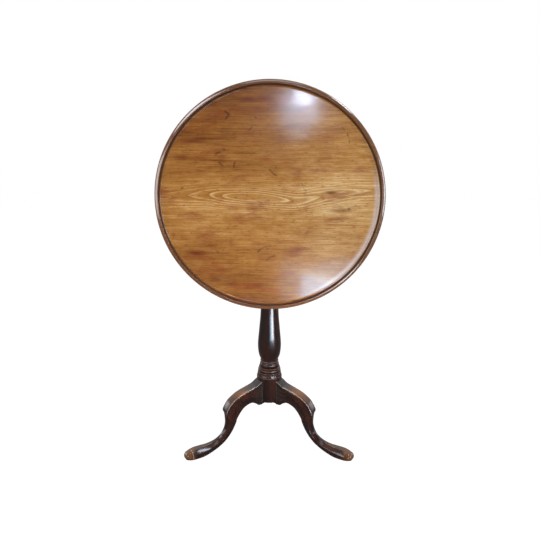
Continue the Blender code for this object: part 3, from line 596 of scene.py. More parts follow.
# Darker, redder patches: middle across and up, half length, half height, strength
topStains = (
    (-205, 151, 26, 5, 0.75), (-150, 158, 46, 3, 0.45), (-230, 108, 22, 8, 0.65), (-200, -147, 28, 7, 0.95),
    (-259, -96, 7, 7, 0.6), (-147, -219, 16, 8, 0.5), (-104, -234, 22, 6, 0.75), (-32, -236, 24, 8, 0.6),
    (-14, 259, 24, 8, 0.75), (-57, 255, 24, 8, 0.55), (161, 19, 20, 5, 0.9), (188, -30, 26, 6, 0.6),
    (177, -52, 26, 5, 0.45), (-144, 214, 40, 14, 0.45), (161, 183, 28, 10, 0.35), (53, 192, 18, 9, 0.4),
    (-125, 106, 12, 14, 0.45), (-105, -118, 7, 12, 0.35), (-235, 178, 20, 10, 0.4), (96, -92, 30, 8, 0.15),
    (130, -100, 40, 10, 0.15), (-60, 232, 80, 8, 0.35),
)
# Figure of the wood, in millimetres: the crest of its rings, how far out the rings close, smaller eyes, and
# a drift as millimetres across and up and its layer of noise
topFigure = {
    "crest": ((-300, 6), (-156, 12), (-127, 9), (-40, 6), (48, -3), (75, -5), (127, 7), (224, 22), (300, 26)),
    "close": ((-300, 2.5), (-230, 2.15), (-156, 1.5), (-127, 1.0), (-40, 0.0), (48, 1.0), (127, 1.5),
              (224, 1.9), (300, 2.1)),
    "half": 10.7, "soften": (-14, -7, 0, 7, 14), "drift": (120, 50, 7.7), "wander": 1.4,
    "eyes": ((188, 20, 46, 7, 1.3), (-284, 5, 34, 7, 1.5)), "eyeStep": 0.7, "join": 0.3,
    # Tone of the wood from the bottom edge up to the top edge
    "tone": ((-300, 0.34), (-225, 0.45), (-143, 0.58), (-60, 0.62), (-15, 0.7), (25, 0.71), (60, 0.61),
             (140, 0.49), (250, 0.37), (300, 0.3)),
    # and what is added to it from left to right, partly the wood's own tone and partly painted sheen
    # lightening the right
    "aside": ((-300, -0.05), (-60, 0.0), (60, 0.09), (160, 0.2), (300, 0.16)),
}
# How the board has aged, with its painted shade and painted reflection: radii and heights in metres,
# directions in degrees anticlockwise from the right
topWearAndPaintedLight = {
    "face": 0.006, "markSpread": 1.3,
    # Painted shade with some dirt in the groove, heaviest on the right where the lip's inner wall is in shade,
    # as radius, half width and strength; and painted shade below the edge
    "dirt": ((0.2922, 0.0012, 1.0), (0.2948, 0.0009, 0.6)), "dirtMean": 0.62, "dirtSwing": 0.38,
    "dirtTurn": 10, "edge": 0.299, "edgeDirt": (0.0135, 0.0075), "edgeMost": 0.8,
    # The rim's darker polish, and a painted reflection of window light along the cove on the right
    "rim": (0.2892, 0.2922), "rimMost": 0.88, "rubStart": (-75, -50), "rubEnd": (18, 4),
    "pale": (0.2845, 0.006), "paleMost": 0.72,
    # The field's roll: its millimetres across and up, its layer of noise, and where it dies out
    "roll": (95, 62, 3.1), "rollEdge": (0.285, 0.255),
}


def distanceTo(path, across, up):
    best = np.full(across.shape, np.inf)
    for (ax, az), (bx, bz) in zip(path, path[1:]):
        dx, dz = bx - ax, bz - az
        share = np.clip(((across - ax) * dx + (up - az) * dz) / (dx * dx + dz * dz), 0, 1)
        best = np.minimum(best, np.hypot(across - ax - share * dx, up - az - share * dz))
    return best


def noiseOver(across, up, wide, tall, layer):
    return np.array([noise.noise((x / wide, z / tall, layer)) for x, z in zip(across, up)])


def ringsOf(across, up, figure):
    # How many rings out from the heart of the figure each point lies
    drift = noiseOver(across, up, *figure["drift"]) * figure["wander"]
    crest, close = (
        np.mean([np.interp(across + step, *zip(*figure[key])) for step in figure["soften"]], axis=0)
        for key in ("crest", "close")
    )
    rings, join = np.hypot((up + drift - crest) / figure["half"], close), figure["join"]
    for x, z, halfX, halfZ, start in figure["eyes"]:
        eye = np.hypot((across - x) / halfX, (up + drift - z) / halfZ) * figure["eyeStep"] + start
        share = np.clip(0.5 + 0.5 * (eye - rings) / join, 0, 1)
        rings = eye + (rings - eye) * share - join * share * (1 - share)
    return rings


def topProfile(size):
    field, edge, radius = size["field"], size["coveEdge"], size["radius"]
    flat = [(0.0, field), *run((0.0, field), (size["flat"], field), round(size["flat"] / size["ringStep"]))]
    shares = [i / size["coveSteps"] for i in range(1, size["coveSteps"] + 1)]
    cove = [(size["flat"] + (edge - size["flat"]) * t, field + size["coveRise"] * t**2) for t in shares]
    groove = field + size["coveRise"] - size["quirk"]
    beadMiddle, beadHeight, beadRadius = size["bead"]
    quirk = [(edge + size["quirkStart"], groove), (beadMiddle - beadRadius - size["quirkEnd"], groove)]
    bead = arc((beadMiddle, beadHeight), beadRadius, *size["beadArc"])
    lip = spline([(radius + out, height) for out, height in size["lip"]], size["curveSteps"])
    under = spline([lip[-1], *((radius + out, height) for out, height in size["under"])], size["curveSteps"])
    back = run((radius + size["under"][-1][0], 0.0), (0.0, 0.0), size["backSteps"])
    return flat + cove + quirk + bead + lip + under[1:] + back


def topMaps(across, up, radius, height, wear):
    # Tone, figure, marks, dirt with painted shade, and a painted reflection at every point of the board; marks
    # and stains are on its face alone
    front, turn = height > wear["face"], np.degrees(np.arctan2(up, across))
    mark, stain, dirt = np.zeros((3, len(across)))
    for path, width, depth in topMarks:
        mark = np.maximum(mark, depth * hump(distanceTo(path, across, up), 0, wear["markSpread"] * width))
    for x, z, halfX, halfZ, strength in topStains:
        stain = np.maximum(stain, strength * hump(across, x, halfX) * hump(up, z, halfZ))
    # Painted shade in the groove, heaviest on the right where the lip's inner wall is in shade
    shaded = wear["dirtMean"] + wear["dirtSwing"] * np.cos(np.radians(turn - wear["dirtTurn"]))
    for place, width, depth in wear["dirt"]:
        dirt = np.maximum(dirt, depth * shaded * hump(radius, place, width))
    # Painted shade below the lip's edge
    edgeDirt = np.minimum(fade(height, *wear["edgeDirt"]), wear["edgeMost"]) * (radius > wear["edge"])
    # Painted reflection of window light along the cove, on the right side only
    sheenSide = fade(turn, *wear["rubStart"]) * fade(turn, *wear["rubEnd"])
    tone = np.interp(up, *zip(*topFigure["tone"])) + np.interp(across, *zip(*topFigure["aside"]))
    return {
        "tone": tone, "figure": ringsOf(across, up, topFigure), "mark": mark * front, "stain": stain * front,
        "grime": np.maximum(dirt, edgeDirt), "rim": wear["rimMost"] * fade(radius, *wear["rim"]),
        "pale": wear["paleMost"] * sheenSide * hump(radius, *wear["pale"]),
    }


def makeTop(size, wear):
    lay = Matrix.Translation((boardCentre.x, boardHigh.y, boardCentre.z)) @ tipped
    piece = turnPiece("topBoard", topProfile(size), size["segments"], boardFinish, lay)
    mesh = piece.data
    spots = np.empty(len(mesh.vertices) * 3, np.float32)
    mesh.vertices.foreach_get("co", spots)
    spots = spots.reshape(-1, 3)
    across, up = (spots[:, 0] - boardCentre.x) * 1000, (spots[:, 2] - boardCentre.z) * 1000
    radius, height = np.hypot(across, up) / 1000, boardHigh.y - spots[:, 1]
    for key, values in topMaps(across, up, radius, height, wear).items():
        setAttribute(mesh, key, values)

    # An old board is never dead flat: the field rolls by a fifth of a millimetre
    roll = noiseOver(across, up, *wear["roll"]) * fade(radius, *wear["rollEdge"])
    spots[:, 1] -= size["wave"] * roll * (height > wear["face"])
    mesh.vertices.foreach_set("co", spots.ravel())
    mesh.update()
    dress(piece, boardFinish, lipFinish, undersideFinish, grooveFinish)
    field, lip, back, groove = range(4)
    crest = size["radius"] + size["lip"][3][0]
    for face in mesh.polygons:
        out, rise = (face.center - boardCentre).xz.length, boardHigh.y - face.center.y
        face.material_index = field
        if rise < size["back"]:
            face.material_index = back
        elif out > crest:
            face.material_index = lip
        elif out > size["coveEdge"] - size["grooveLap"]:
            face.material_index = groove
    return mount(piece, "top", "figured_mahogany", "top_board")


makeTop(topSize, topWearAndPaintedLight)
print("top board: turned")


# Pillar: each rise is measured from the feature below it
pillarLow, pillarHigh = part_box("pillar")
lowerLow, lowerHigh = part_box("cage_lower_plate")
upperLow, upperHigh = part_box("cage_upper_plate")
collarLow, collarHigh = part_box("cage_collar")
wedgeLow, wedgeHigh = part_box("wedge_key")
axisPlace = Vector(((lowerLow.x + lowerHigh.x) / 2, (lowerLow.y + lowerHigh.y) / 2, 0))
gap = 0.0003  # between parts that fit
past = 0.01  # how far a cutter runs on past a face
pillarSize = {
    "bottom": pillarLow.z, "drumRise": 0.0848, "drum": 0.0378, "drumEdge": 0.0022, "neckRise": 0.0502,
    "neck": 0.025, "footRise": 0.0175, "foot": 0.0318, "vaseRise": 0.031, "vase": 0.0346, "stemRise": 0.098,
    "stem": 0.0267, "stemTop": 0.0232, "astragal": 0.004, "capCove": 0.0085, "cap": 0.033,
    "capThickness": 0.008, "shaft": 0.022, "headroom": 0.012, "spigot": 0.013, "soft": 0.0008,
    # Rise above the drum, radius of the crown, half height and how far the crown stands out
    "beads": (
        (0.0464, 0.0273, 0.0034, 0.0026), (0.0338, 0.029, 0.0056, 0.0022), (0.0257, 0.0316, 0.0022, 0.0017),
        (0.0182, 0.0337, 0.0042, 0.0026), (0.011, 0.0349, 0.0026, 0.0017), (0.0064, 0.0356, 0.0016, 0.0012),
    ),
    "archHeight": 0.009, "archHalf": 0.021, "archOut": 0.0321, "wedgeSeat": 0.0015,
    # How far round the roundings go, in degrees, and how finely they are drawn
    "round": 80, "beadRound": 84, "coveSteps": 10, "edgeSteps": 5, "drumSteps": 24, "segments": 160,
    "archSegments": 128,
}
legs = {
    "leg_front_left": ("legFrontLeft", 210), "leg_front_right": ("legFrontRight", 330),
    "leg_rear": ("legRear", 90),
}
tailSize = {"depth": 0.014, "mouth": 0.012, "width": 0.018, "height": 0.054, "root": 0.004}


def onAxis(height):
    return axisPlace + Vector((0, 0, height))


def pillarProfile(size):
    drumTop, edge, soft, cap = size["bottom"] + size["drumRise"], size["drumEdge"], size["soft"], size["cap"]
    neckZ = drumTop + size["neckRise"]
    footZ = neckZ + size["footRise"]
    vaseZ = footZ + size["vaseRise"]
    stemZ = vaseZ + size["stemRise"]
    shoulder = lowerLow.z - gap
    coveTop = shoulder - size["capThickness"]
    stemTop = coveTop - size["capCove"] - 2 * size["astragal"]
    shaftTop, spigotTop = upperLow.z - size["headroom"], pillarHigh.z
    head = [(0, spigotTop), (size["spigot"] - soft, spigotTop), (size["spigot"], spigotTop - soft),
            (size["spigot"], shaftTop), (size["shaft"] - soft, shaftTop), (size["shaft"], shaftTop - soft)]
    head += run(head[-1], (size["shaft"], shoulder))
    head += [(cap - soft, shoulder), (cap, shoulder - soft), (cap, coveTop)]
    head += arc((cap, coveTop - size["capCove"]), size["capCove"], 90, 180, size["coveSteps"])[1:]
    bead = size["astragal"]
    head += arc((size["stemTop"], stemTop + bead), bead, size["round"], -size["round"])
    body = spline([
        (size["stemTop"], stemTop), ((size["stemTop"] + size["stem"]) / 2, (stemTop + stemZ) / 2),
        (size["stem"], stemZ), ((size["stem"] + size["vase"]) / 2, (stemZ + vaseZ) / 2),
        (size["vase"], vaseZ), (size["foot"], footZ), (size["neck"], neckZ),
    ])
    swell = arc((0, 0), 1, size["beadRound"], -size["beadRound"])
    for rise, crown, half, proud in size["beads"]:
        body += [(crown - proud + proud * out, drumTop + rise + half * up) for out, up in swell]
    drum = arc((size["drum"] - edge, drumTop - edge), edge, size["round"], 0, size["edgeSteps"])
    drum += run((size["drum"], drumTop - edge), (size["drum"], size["bottom"]), size["drumSteps"])
    return head + body + drum + run(drum[-1], (0.0, size["bottom"]))


def tailOutline(clear):
    # The dovetail in plan, outward along X and widest at its inner end
    inner, outer = pillarSize["drum"] - tailSize["depth"] - clear, pillarSize["drum"] + tailSize["root"]
    slope = (tailSize["width"] - tailSize["mouth"]) / 2 / tailSize["depth"]
    halfInner = tailSize["width"] / 2 + clear * sqrt(1 + slope**2) + clear * slope
    halfOuter = halfInner - slope * (outer - inner)
    return [(inner, -halfInner), (outer, -halfOuter), (outer, halfOuter), (inner, halfInner)]


def makePillar(size):
    stand = Matrix.Translation(axisPlace)
    piece = turnPiece("turnedPillar", pillarProfile(size), size["segments"], turnedFinish, stand)
    archRadius = (size["archHalf"] ** 2 + size["archHeight"] ** 2) / (2 * size["archHeight"])
    level, half = size["bottom"] + size["archHeight"] - archRadius, size["drum"] / 2
    slotHeight = tailSize["root"] + tailSize["height"] + gap
    arch = [Vector((out - size["archOut"], 0, level)) for out in (half, -half)]
    cutters = []
    for name, angle in legs.values():
        turn = stand @ Matrix.Rotation(radians(angle), 4, "Z")
        foot = turn @ Matrix.Translation((0, 0, size["bottom"] - tailSize["root"]))
        cutters.append(prism(f"{name}Slot", tailOutline(gap), slotHeight, foot))
        # An arch lies opposite each leg, between the other two
        cutters.append(rod(f"{name}Arch", turn @ arch[0], turn @ arch[1], archRadius, size["archSegments"]))
    reach = 2 * size["shaft"]
    cutters.append(block("wedgeSlot", (axisPlace.x - reach, wedgeLow.y - gap, wedgeLow.z - 2 * gap),
                         (axisPlace.x + reach, wedgeHigh.y + gap, wedgeHigh.z - size["wedgeSeat"])))
    carve(piece, *cutters)
    dress(piece, turnedFinish)
    smoothFaces(piece)
    return mount(piece, "base", "dark_mahogany", "pillar")


makePillar(pillarSize)
print("pillar: turned, with its slots and arches")


# Legs: lofted through sections from the drum to the toe
legSize = {
    "reach": 0.9989, "shoulder": 0.0003, "crown": 0.0008, "hip": 0.8, "crisp": 0.0085, "broad": 0.01,
    "steps": 8, "cornerSteps": 8, "topSteps": 6, "sideSteps": 8, "sharp": 30,
}
# In millimetres: upper and lower edge (out from the drum, height), half width, upper and lower rounding
legSections = (
    ((-8, 196), (-8, 119), 18, 1, 1), ((0.7, 191.5), (0.7, 119), 18, 1, 1),
    ((14.2, 182.5), (9.2, 119.5), 17.8, 1, 1), ((28.2, 177.5), (19.2, 127), 17.5, 1, 1),
    ((46.2, 172.5), (32.2, 132), 17, 1, 1), ((65.2, 166.5), (48.7, 127), 16.5, 1.2, 1.5),
    ((82.2, 158), (59.2, 119.5), 16, 1.2, 2), ((99.2, 145), (68.2, 109.5), 16, 1.2, 2.5),
    ((112.7, 125.5), (76.2, 96.5), 15.5, 1.4, 3.5), ((114.7, 117), (78.4, 91.5), 15, 1.6, 4),
    ((113.2, 110.5), (79.4, 88.5), 14.8, 8, 4.5), ((112.4, 96), (80.8, 80.4), 14.4, 9.5, 5.5),
    ((112.6, 79), (85.1, 68.6), 13.9, 10, 7), ((118.2, 61.2), (93.5, 52.3), 13.4, 10, 8),
    ((129.9, 45.2), (106.7, 35.2), 13.2, 10, 8), ((147.8, 33.4), (125.7, 20.5), 14.2, 10, 7),
    ((170.6, 27.4), (152.2, 9.2), 16.5, 10.5, 5), ((195.4, 25.7), (186.2, 1), 19.8, 11, 3),
    ((214.2, 24.6), (213.2, 0), 21.2, 11.5, 2.5), ((228.2, 22), (228.2, 0), 20, 11.5, 2.5),
    ((237.2, 17), (237.2, 0), 16, 8.5, 3), ((242, 12.8), (242, 0.3), 12.2, 5.6, 3),
    ((243.3, 10.4), (243.3, 1), 9.2, 4, 2), ((243.7, 8.2), (243.7, 2.8), 5, 2.2, 1.2),
)
# Where a leg is worn, carries a painted highlight along its arris or is darkened at its root, in metres out
# from the drum or up from the floor, and how much
legWearAndPaintedLight = {
    "knee": (0.064, 0.026), "kneeLow": 0.1, "toe": (0.214, 0.236), "toeLow": 0.004, "instep": (0.15, 0.18),
    "instepHalf": 0.02, "instepMost": 0.7, "instepRub": 0.9, "arris": 0.9, "arrisEnd": (0.118, 0.114),
    "arrisLow": (0.112, 0.118), "root": 0.05, "rootRings": 3, "dirt": 0.75, "dirtEnd": (0.034, 0.008),
    # An old repair across one toe
    "repaired": "legFrontLeft", "repair": 0.2255, "repairHalf": 0.0006, "repairSide": -0.004,
    "repairTone": 0.6,
}


def legRing(upper, lower, halfWidth, upperRound, lowerRound, size):
    # Points round one section from its upper right corner: how far each is a corner, whether it faces up
    upper, lower = Vector((upper[0], 0, upper[1])), Vector((lower[0], 0, lower[1]))
    up, side = (upper - lower).normalized(), Vector((0, 1, 0))
    halfHeight, middle = (upper - lower).length / 2, (upper + lower) / 2
    steps, corners = size["cornerSteps"], []
    for quarter, (right, top) in enumerate(((1, 1), (-1, 1), (-1, -1), (1, -1))):
        radius = min(upperRound if top > 0 else lowerRound, halfWidth, halfHeight)
        across, along = right * (halfWidth - radius), top * (halfHeight - radius)
        # Ankle and foot have broad hips, where the arris of the knee has died away
        hip = 1 + size["hip"] * fade(radius, size["crisp"], size["broad"]) * (top > 0)
        corner = []
        for out, rise in arc((0, 0), 1, 90 * quarter, 90 * quarter + 90, steps):
            out, rise = (copysign(abs(part) ** hip, part) for part in (out, rise))
            corner.append((across + radius * out, along + radius * rise))
        corners.append(corner)
    ring, faces = [], []
    for quarter, corner in enumerate(corners):
        count = size["topSteps"] if quarter in (0, 2) else size["sideSteps"]
        ring += corner + run(corner[-1], corners[(quarter + 1) % 4][0], count)[:-1]
        faces += [(sin(pi * i / steps), float(quarter < 2)) for i in range(steps + 1)]
        faces += [(0.0, float(quarter == 0))] * (count - 1)
    ring = [(y, z - size["crown"] * (y / halfWidth) ** 2 * max(z, 0) / halfHeight) for y, z in ring]
    return [middle + side * y + up * z for y, z in ring], faces, ring


def legMaps(point, reach, across, lean, facing, isRoot, repairTone, wear):
    # Wear, rubbing, a painted highlight along the arris and darkening at the root at one point of a leg, and
    # the repair of its toe
    knee = hump(reach, *wear["knee"]) * (point.z > wear["kneeLow"])
    toe = fade(reach, *wear["toe"]) * (point.z > wear["toeLow"])
    ridge = np.clip(wear["instepMost"] - abs(across) / wear["instepHalf"], 0, 1)
    instep = wear["instepRub"] * fade(reach, *wear["instep"]) * ridge
    # A painted highlight along the upper arris, from the root to the knee
    arris = wear["arris"] * lean * fade(reach, *wear["arrisEnd"]) * fade(point.z, *wear["arrisLow"])
    isRepair = abs(reach - wear["repair"]) < wear["repairHalf"] and point.y > wear["repairSide"]
    return {
        "wear": arris if facing > 0 else wear["root"] * isRoot,
        "rub": min(1.0, facing * (knee + instep) + toe),
        "grime": wear["dirt"] * fade(reach, *wear["dirtEnd"]),
        "mark": repairTone * isRepair,
    }


def makeLeg(node, name, angle, size, wear):
    rows = [np.array((*upper, *lower, *rest)) / 1000 for upper, lower, *rest in legSections]
    drum = pillarSize["drum"]
    points, grain, rings, maps = [], [], [], []
    repairTone = wear["repairTone"] if name == wear["repaired"] else 0.0
    travelled, last = 0.0, None
    for out, high, lowOut, low, *rest in spline(rows, size["steps"]):
        middle = Vector(((out + lowOut) / 2, 0, (high + low) / 2))
        travelled += (middle - last).length if last is not None else 0.0
        last = middle
        upper, lower = (drum + size["reach"] * out, high), (drum + size["reach"] * lowOut, max(low, 0.0))
        ring, faces, flat = legRing(upper, lower, *rest, size)
        # The root lies on the drum, and nothing of the leg is inside it
        onDrum = [sqrt((drum + size["shoulder"]) ** 2 - p.y**2) for p in ring]
        if all(p.x < face for p, face in zip(ring, onDrum)):
            continue
        if not rings:
            for point, face in zip(ring, onDrum):
                point.x = face
        rings.append(range(len(points), len(points) + len(ring)))
        for point, face, (lean, facing), (y, z) in zip(ring, onDrum, faces, flat):
            reach, isRoot = point.x - drum, len(rings) < wear["rootRings"]
            point.x = max(point.x, face)
            maps.append(legMaps(point, reach, y, lean, facing, isRoot, repairTone, wear))
            grain.append((travelled, y, z))
            points.append(point)
    count = len(rings[0])
    faces = [tuple(reversed(rings[0])), tuple(rings[-1])]
    for near, far in zip(rings, rings[1:]):
        faces += [(near[i], near[(i + 1) % count], far[(i + 1) % count], far[i]) for i in range(count)]
    mesh = meshFrom(name, points, faces)
    for key in maps[0]:
        setAttribute(mesh, key, [values[key] for values in maps])
    setAttribute(mesh, "grain", grain, "FLOAT_VECTOR")
    piece = addPiece(name, mesh)
    foot = Matrix.Translation((0, 0, pillarSize["bottom"]))
    carve(piece, prism("tail", tailOutline(0), tailSize["height"], foot), operation="UNION")
    piece.data.transform(Matrix.Translation(axisPlace) @ Matrix.Rotation(radians(angle), 4, "Z"))
    dress(piece, legFinish)
    smoothFaces(piece, size["sharp"])
    return mount(piece, "base", "dark_mahogany", node)


for legNode, (legName, legAngle) in legs.items():
    makeLeg(legNode, legName, legAngle, legSize, legWearAndPaintedLight)
print("legs: three lofted, with their dovetails")


# Birdcage: two plates, four colonnettes, a collar and a wedge
cageSize = {
    "edge": 0.0014, "noseSteps": 28, "pintle": 0.008, "pintleEdge": 0.0012, "pillarBore": 0.0225,
    "spigotBore": 0.0135, "boreSegments": 96, "mortise": 0.012, "boltPlay": 0.002, "strikeEdge": 0.0004,
    "sharp": 32,
}
columnSize = {
    "radius": 0.0135, "block": 0.008, "neck": 0.008, "neckLength": 0.014, "belly": 0.0122,
    "bellyRise": 0.019, "tenon": 0.007, "tenonLength": 0.0117, "soft": 0.0012, "softSteps": 4,
    "segments": 48, "turn": 0.9,
}
clampSize = {
    "clear": 0.0005, "chamfer": 0.0005, "soft": 0.0028, "softSteps": 6, "segments": 96, "wedgeFall": 0.006,
    "wedgeEdge": 0.0009,
}
alongX = Matrix(((0, 0, 1, 0), (1, 0, 0, 0), (0, 1, 0, 0), (0, 0, 0, 1)))
columnNodes = [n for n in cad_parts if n.startswith("cage_column")]
columnPlaces = [Vector(((a.x + b.x) / 2, (a.y + b.y) / 2, lowerHigh.z)) for a, b in map(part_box, columnNodes)]
strikeLow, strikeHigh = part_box("strike_plate")
boltLow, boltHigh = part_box("catch_bolt")
nose = (upperHigh.z - upperLow.z) / 2
pivot = Vector((0, upperLow.y + nose, (upperHigh.z + upperLow.z) / 2))


def completePiece(piece, edge, finish, body, slot, *replaced):
    softenEdges(piece, edge)
    dress(piece, finish)
    return mount(piece, body, slot, *replaced)


def columnHoles(name):
    low, high = lowerHigh.z - columnSize["tenonLength"] - gap, upperLow.z + columnSize["tenonLength"] + gap
    return [rod(f"{name}{i}", (p.x, p.y, low), (p.x, p.y, high), columnSize["tenon"] + gap)
            for i, p in enumerate(columnPlaces)]


def boltHole(name, near, far, play):
    wide, tall = (boltHigh.x - boltLow.x + play) / 2, (boltHigh.y - boltLow.y + play) / 2
    return block(name, (-wide, near, pivot.z - tall), (wide, far, pivot.z + tall))


def makeUpperPlate(size):
    outline = arc((pivot.y, pivot.z), nose, 90, 270, size["noseSteps"])
    outline += [(upperHigh.y, upperLow.z), (upperHigh.y, upperHigh.z)]
    stand = Matrix.Translation((lowerLow.x, 0, 0)) @ alongX
    plate = prism("cageUpperPlate", outline, lowerHigh.x - lowerLow.x, stand)
    bore = rod("spigotHole", onAxis(upperLow.z - past), onAxis(upperHigh.z + past), size["spigotBore"],
               size["boreSegments"])
    recess = block("strikeRecess", (strikeLow.x - gap, strikeLow.y - gap, strikeLow.z - gap),
                   (strikeHigh.x + gap, strikeHigh.y + past, strikeHigh.z + gap))
    mortise = boltHole("strikeMortise", upperHigh.y - size["mortise"], upperHigh.y + past, size["boltPlay"])
    carve(plate, bore, *columnHoles("upperMortise"), recess, mortise)
    softenEdges(plate, size["edge"])
    pins = rod("pintles", (upperLow.x, pivot.y, pivot.z), (upperHigh.x, pivot.y, pivot.z), size["pintle"])
    softenEdges(pins, size["pintleEdge"])
    carve(plate, pins, operation="UNION")
    smoothFaces(plate, size["sharp"])
    dress(plate, cageFinish)
    return mount(plate, "cage", "dark_mahogany", "cage_upper_plate")


def makeLowerPlate(size):
    plate = block("cageLowerPlate", lowerLow, lowerHigh)
    bore = rod("shaftHole", onAxis(lowerLow.z - past), onAxis(lowerHigh.z + past), size["pillarBore"],
               size["boreSegments"])
    carve(plate, bore, *columnHoles("lowerMortise"))
    return completePiece(plate, size["edge"], cageFinish, "cage", "dark_mahogany", "cage_lower_plate")


def makeStrike(size):
    strike = block("strikePlate", strikeLow, strikeHigh)
    carve(strike, boltHole("boltHole", strikeLow.y - past, strikeHigh.y + past, size["boltPlay"]))
    return completePiece(strike, size["strikeEdge"], brassFinish, "cage", "brass", "strike_plate")


def makeColumns(size):
    tall, soft, steps = upperLow.z - lowerHigh.z, size["soft"], size["softSteps"]
    high, low, flat = tall - gap, gap, size["radius"] - soft
    bodyTop, bodyBottom = high - size["block"], low + size["block"]
    body = spline([(size["neck"], bodyTop), (size["neck"], bodyTop - size["neckLength"]),
                   (size["belly"], bodyBottom + size["bellyRise"]), (size["neck"], bodyBottom)])
    blocks = [
        arc((flat, top - soft), soft, 90, 0, steps) + arc((flat, bottom + soft), soft, 0, -90, steps)
        for top, bottom in ((high, bodyTop), (bodyBottom, low))
    ]
    tenon, length = size["tenon"], size["tenonLength"]
    profile = [(0, tall + length), (tenon, tall + length), (tenon, high), *blocks[0], *body, *blocks[1]]
    profile += [(tenon, low), (tenon, -length), (0, -length)]
    shape = turnPiece("columnShape", profile, size["segments"], turnedFinish)
    turns = [(0, 0, size["turn"] * i) for i in range(len(columnPlaces))]
    piece = setOut("cageColumns", shape, columnPlaces, turns, turnedFinish)
    return mount(piece, "cage", "dark_mahogany", *columnNodes)


def makeCollar(size):
    bore, outer, soft = pillarSize["shaft"] + size["clear"], (collarHigh.x - collarLow.x) / 2, size["soft"]
    top, bottom, cut = collarHigh.z, collarLow.z, size["chamfer"]
    profile = [(bore, top - cut), (bore + cut, top)]
    profile += arc((outer - soft, top - soft), soft, 90, 0, size["softSteps"])
    profile += arc((outer - soft, bottom + soft), soft, 0, -90, size["softSteps"])
    profile += [(bore + cut, bottom), (bore, bottom + cut), (bore, top - cut)]
    collar = turnPiece("cageCollar", profile, size["segments"], turnedFinish, Matrix.Translation(axisPlace))
    return mount(collar, "base", "dark_mahogany", "cage_collar")


def makeWedge(size):
    outline = [(wedgeLow.x, wedgeLow.z), (wedgeHigh.x, wedgeLow.z),
               (wedgeHigh.x, wedgeHigh.z - size["wedgeFall"]), (wedgeLow.x, wedgeHigh.z)]
    stand = Matrix.Translation((0, wedgeHigh.y, 0)) @ tipped
    wedge = prism("wedgeKey", outline, wedgeHigh.y - wedgeLow.y, stand)
    return completePiece(wedge, size["wedgeEdge"], cageFinish, "base", "dark_mahogany", "wedge_key")


makeUpperPlate(cageSize)
makeLowerPlate(cageSize)
makeStrike(cageSize)
makeColumns(columnSize)
makeCollar(clampSize)
makeWedge(clampSize)
print("birdcage: plates, colonnettes, collar and wedge made")


# Bearers: battens under the top, tapered at the ends and bored for the pintles
bearerSize = {
    "endDepth": 0.01, "taper": 0.075, "edge": 0.0012, "well": 0.0053, "wellDepth": 0.003, "bore": 0.0085,
    "boreStart": 0.005, "boreDepth": 0.0195,
}


def makeBearers(size):
    for side in ("left", "right"):
        low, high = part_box(f"bearer_{side}")
        outline = [(low.y, low.z), (low.y + size["endDepth"], low.z), (high.y, low.z + size["taper"]),
                   (high.y, high.z - size["taper"]), (low.y + size["endDepth"], high.z), (low.y, high.z)]
        stand = Matrix.Translation((low.x, 0, 0)) @ alongX
        piece = prism(f"bearer{side.title()}", outline, high.x - low.x, stand)
        cutters = []
        for number in (1, 2, 3):
            headLow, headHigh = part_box(f"bearer_screw_{side}_{number}")
            x, z = (headLow.x + headHigh.x) / 2, (headLow.z + headHigh.z) / 2
            start, end = (x, headHigh.y - size["wellDepth"], z), (x, high.y + past, z)
            cutters.append(rod(f"well{number}", start, end, size["well"]))
        inner, outward = (low.x, 1) if side == "right" else (high.x, -1)
        start, end = (inner - outward * size["boreStart"], inner + outward * size["boreDepth"])
        cutters.append(rod("bore", (start, pivot.y, pivot.z), (end, pivot.y, pivot.z), size["bore"]))
        carve(piece, *cutters)
        completePiece(piece, size["edge"], bearerFinish, "top", "dark_mahogany", f"bearer_{side}")


makeBearers(bearerSize)
print("bearers: cut")


# Brass catch: a case on a flange, a bolt in its channel, a knob on the bolt
catchSize = {
    "flange": 0.0025, "halfWidth": 0.013, "edge": 0.0016, "slot": 0.0027, "slotLap": 0.001, "travel": 0.01,
    "boltEdge": 0.0007, "post": 0.0024, "neck": 0.009, "headSteps": 6, "segments": 48,
    # The knob's domed head, as radius and distance from its crown
    "head": ((0.0024, 0.0078), (0.0036, 0.0072), (0.0056, 0.0055), (0.006, 0.0042), (0.0057, 0.0026),
             (0.004, 0.0008), (0.0018, 0.0001), (0.0, 0.0)),
}
knobLow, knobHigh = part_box("catch_knob")
knobZ = (knobLow.z + knobHigh.z) / 2


def makeCase(size):
    low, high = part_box("catch_case")
    case = block("catchCase", (-size["halfWidth"], low.y, low.z), (size["halfWidth"], high.y, high.z))
    carve(case, block("flange", low, (high.x, low.y + size["flange"], high.z)), operation="UNION")
    channel = block("channel", (boltLow.x - gap, boltLow.y - gap, low.z - past),
                    (boltHigh.x + gap, boltHigh.y + gap, high.z + past))
    half = size["slot"]
    slot = block("slot", (-half, boltHigh.y - size["slotLap"], knobZ - size["travel"] - half - gap),
                 (half, high.y + past, knobZ + half + gap))
    carve(case, channel, slot)
    return completePiece(case, size["edge"], brassFinish, "top", "brass", "catch_case")


def makeBolt(size):
    bolt = block("catchBolt", boltLow, boltHigh)
    return completePiece(bolt, size["boltEdge"], brassFinish, "catch_bolt", "brass", "catch_bolt")


def makeKnob(size):
    # Post, neck and head, turned along Y
    tall = knobHigh.y - knobLow.y
    profile = [(0, tall), (size["post"], tall), (size["post"], size["neck"])]
    profile += spline(size["head"], size["headSteps"])
    lay = Matrix.Translation((0, knobHigh.y, knobZ)) @ tipped
    knob = turnPiece("catchKnob", profile, size["segments"], brassFinish, lay)
    return mount(knob, "catch_bolt", "brass", "catch_knob")


for makePart in (makeCase, makeBolt, makeKnob):
    makePart(catchSize)
print("catch: case, bolt and knob made")


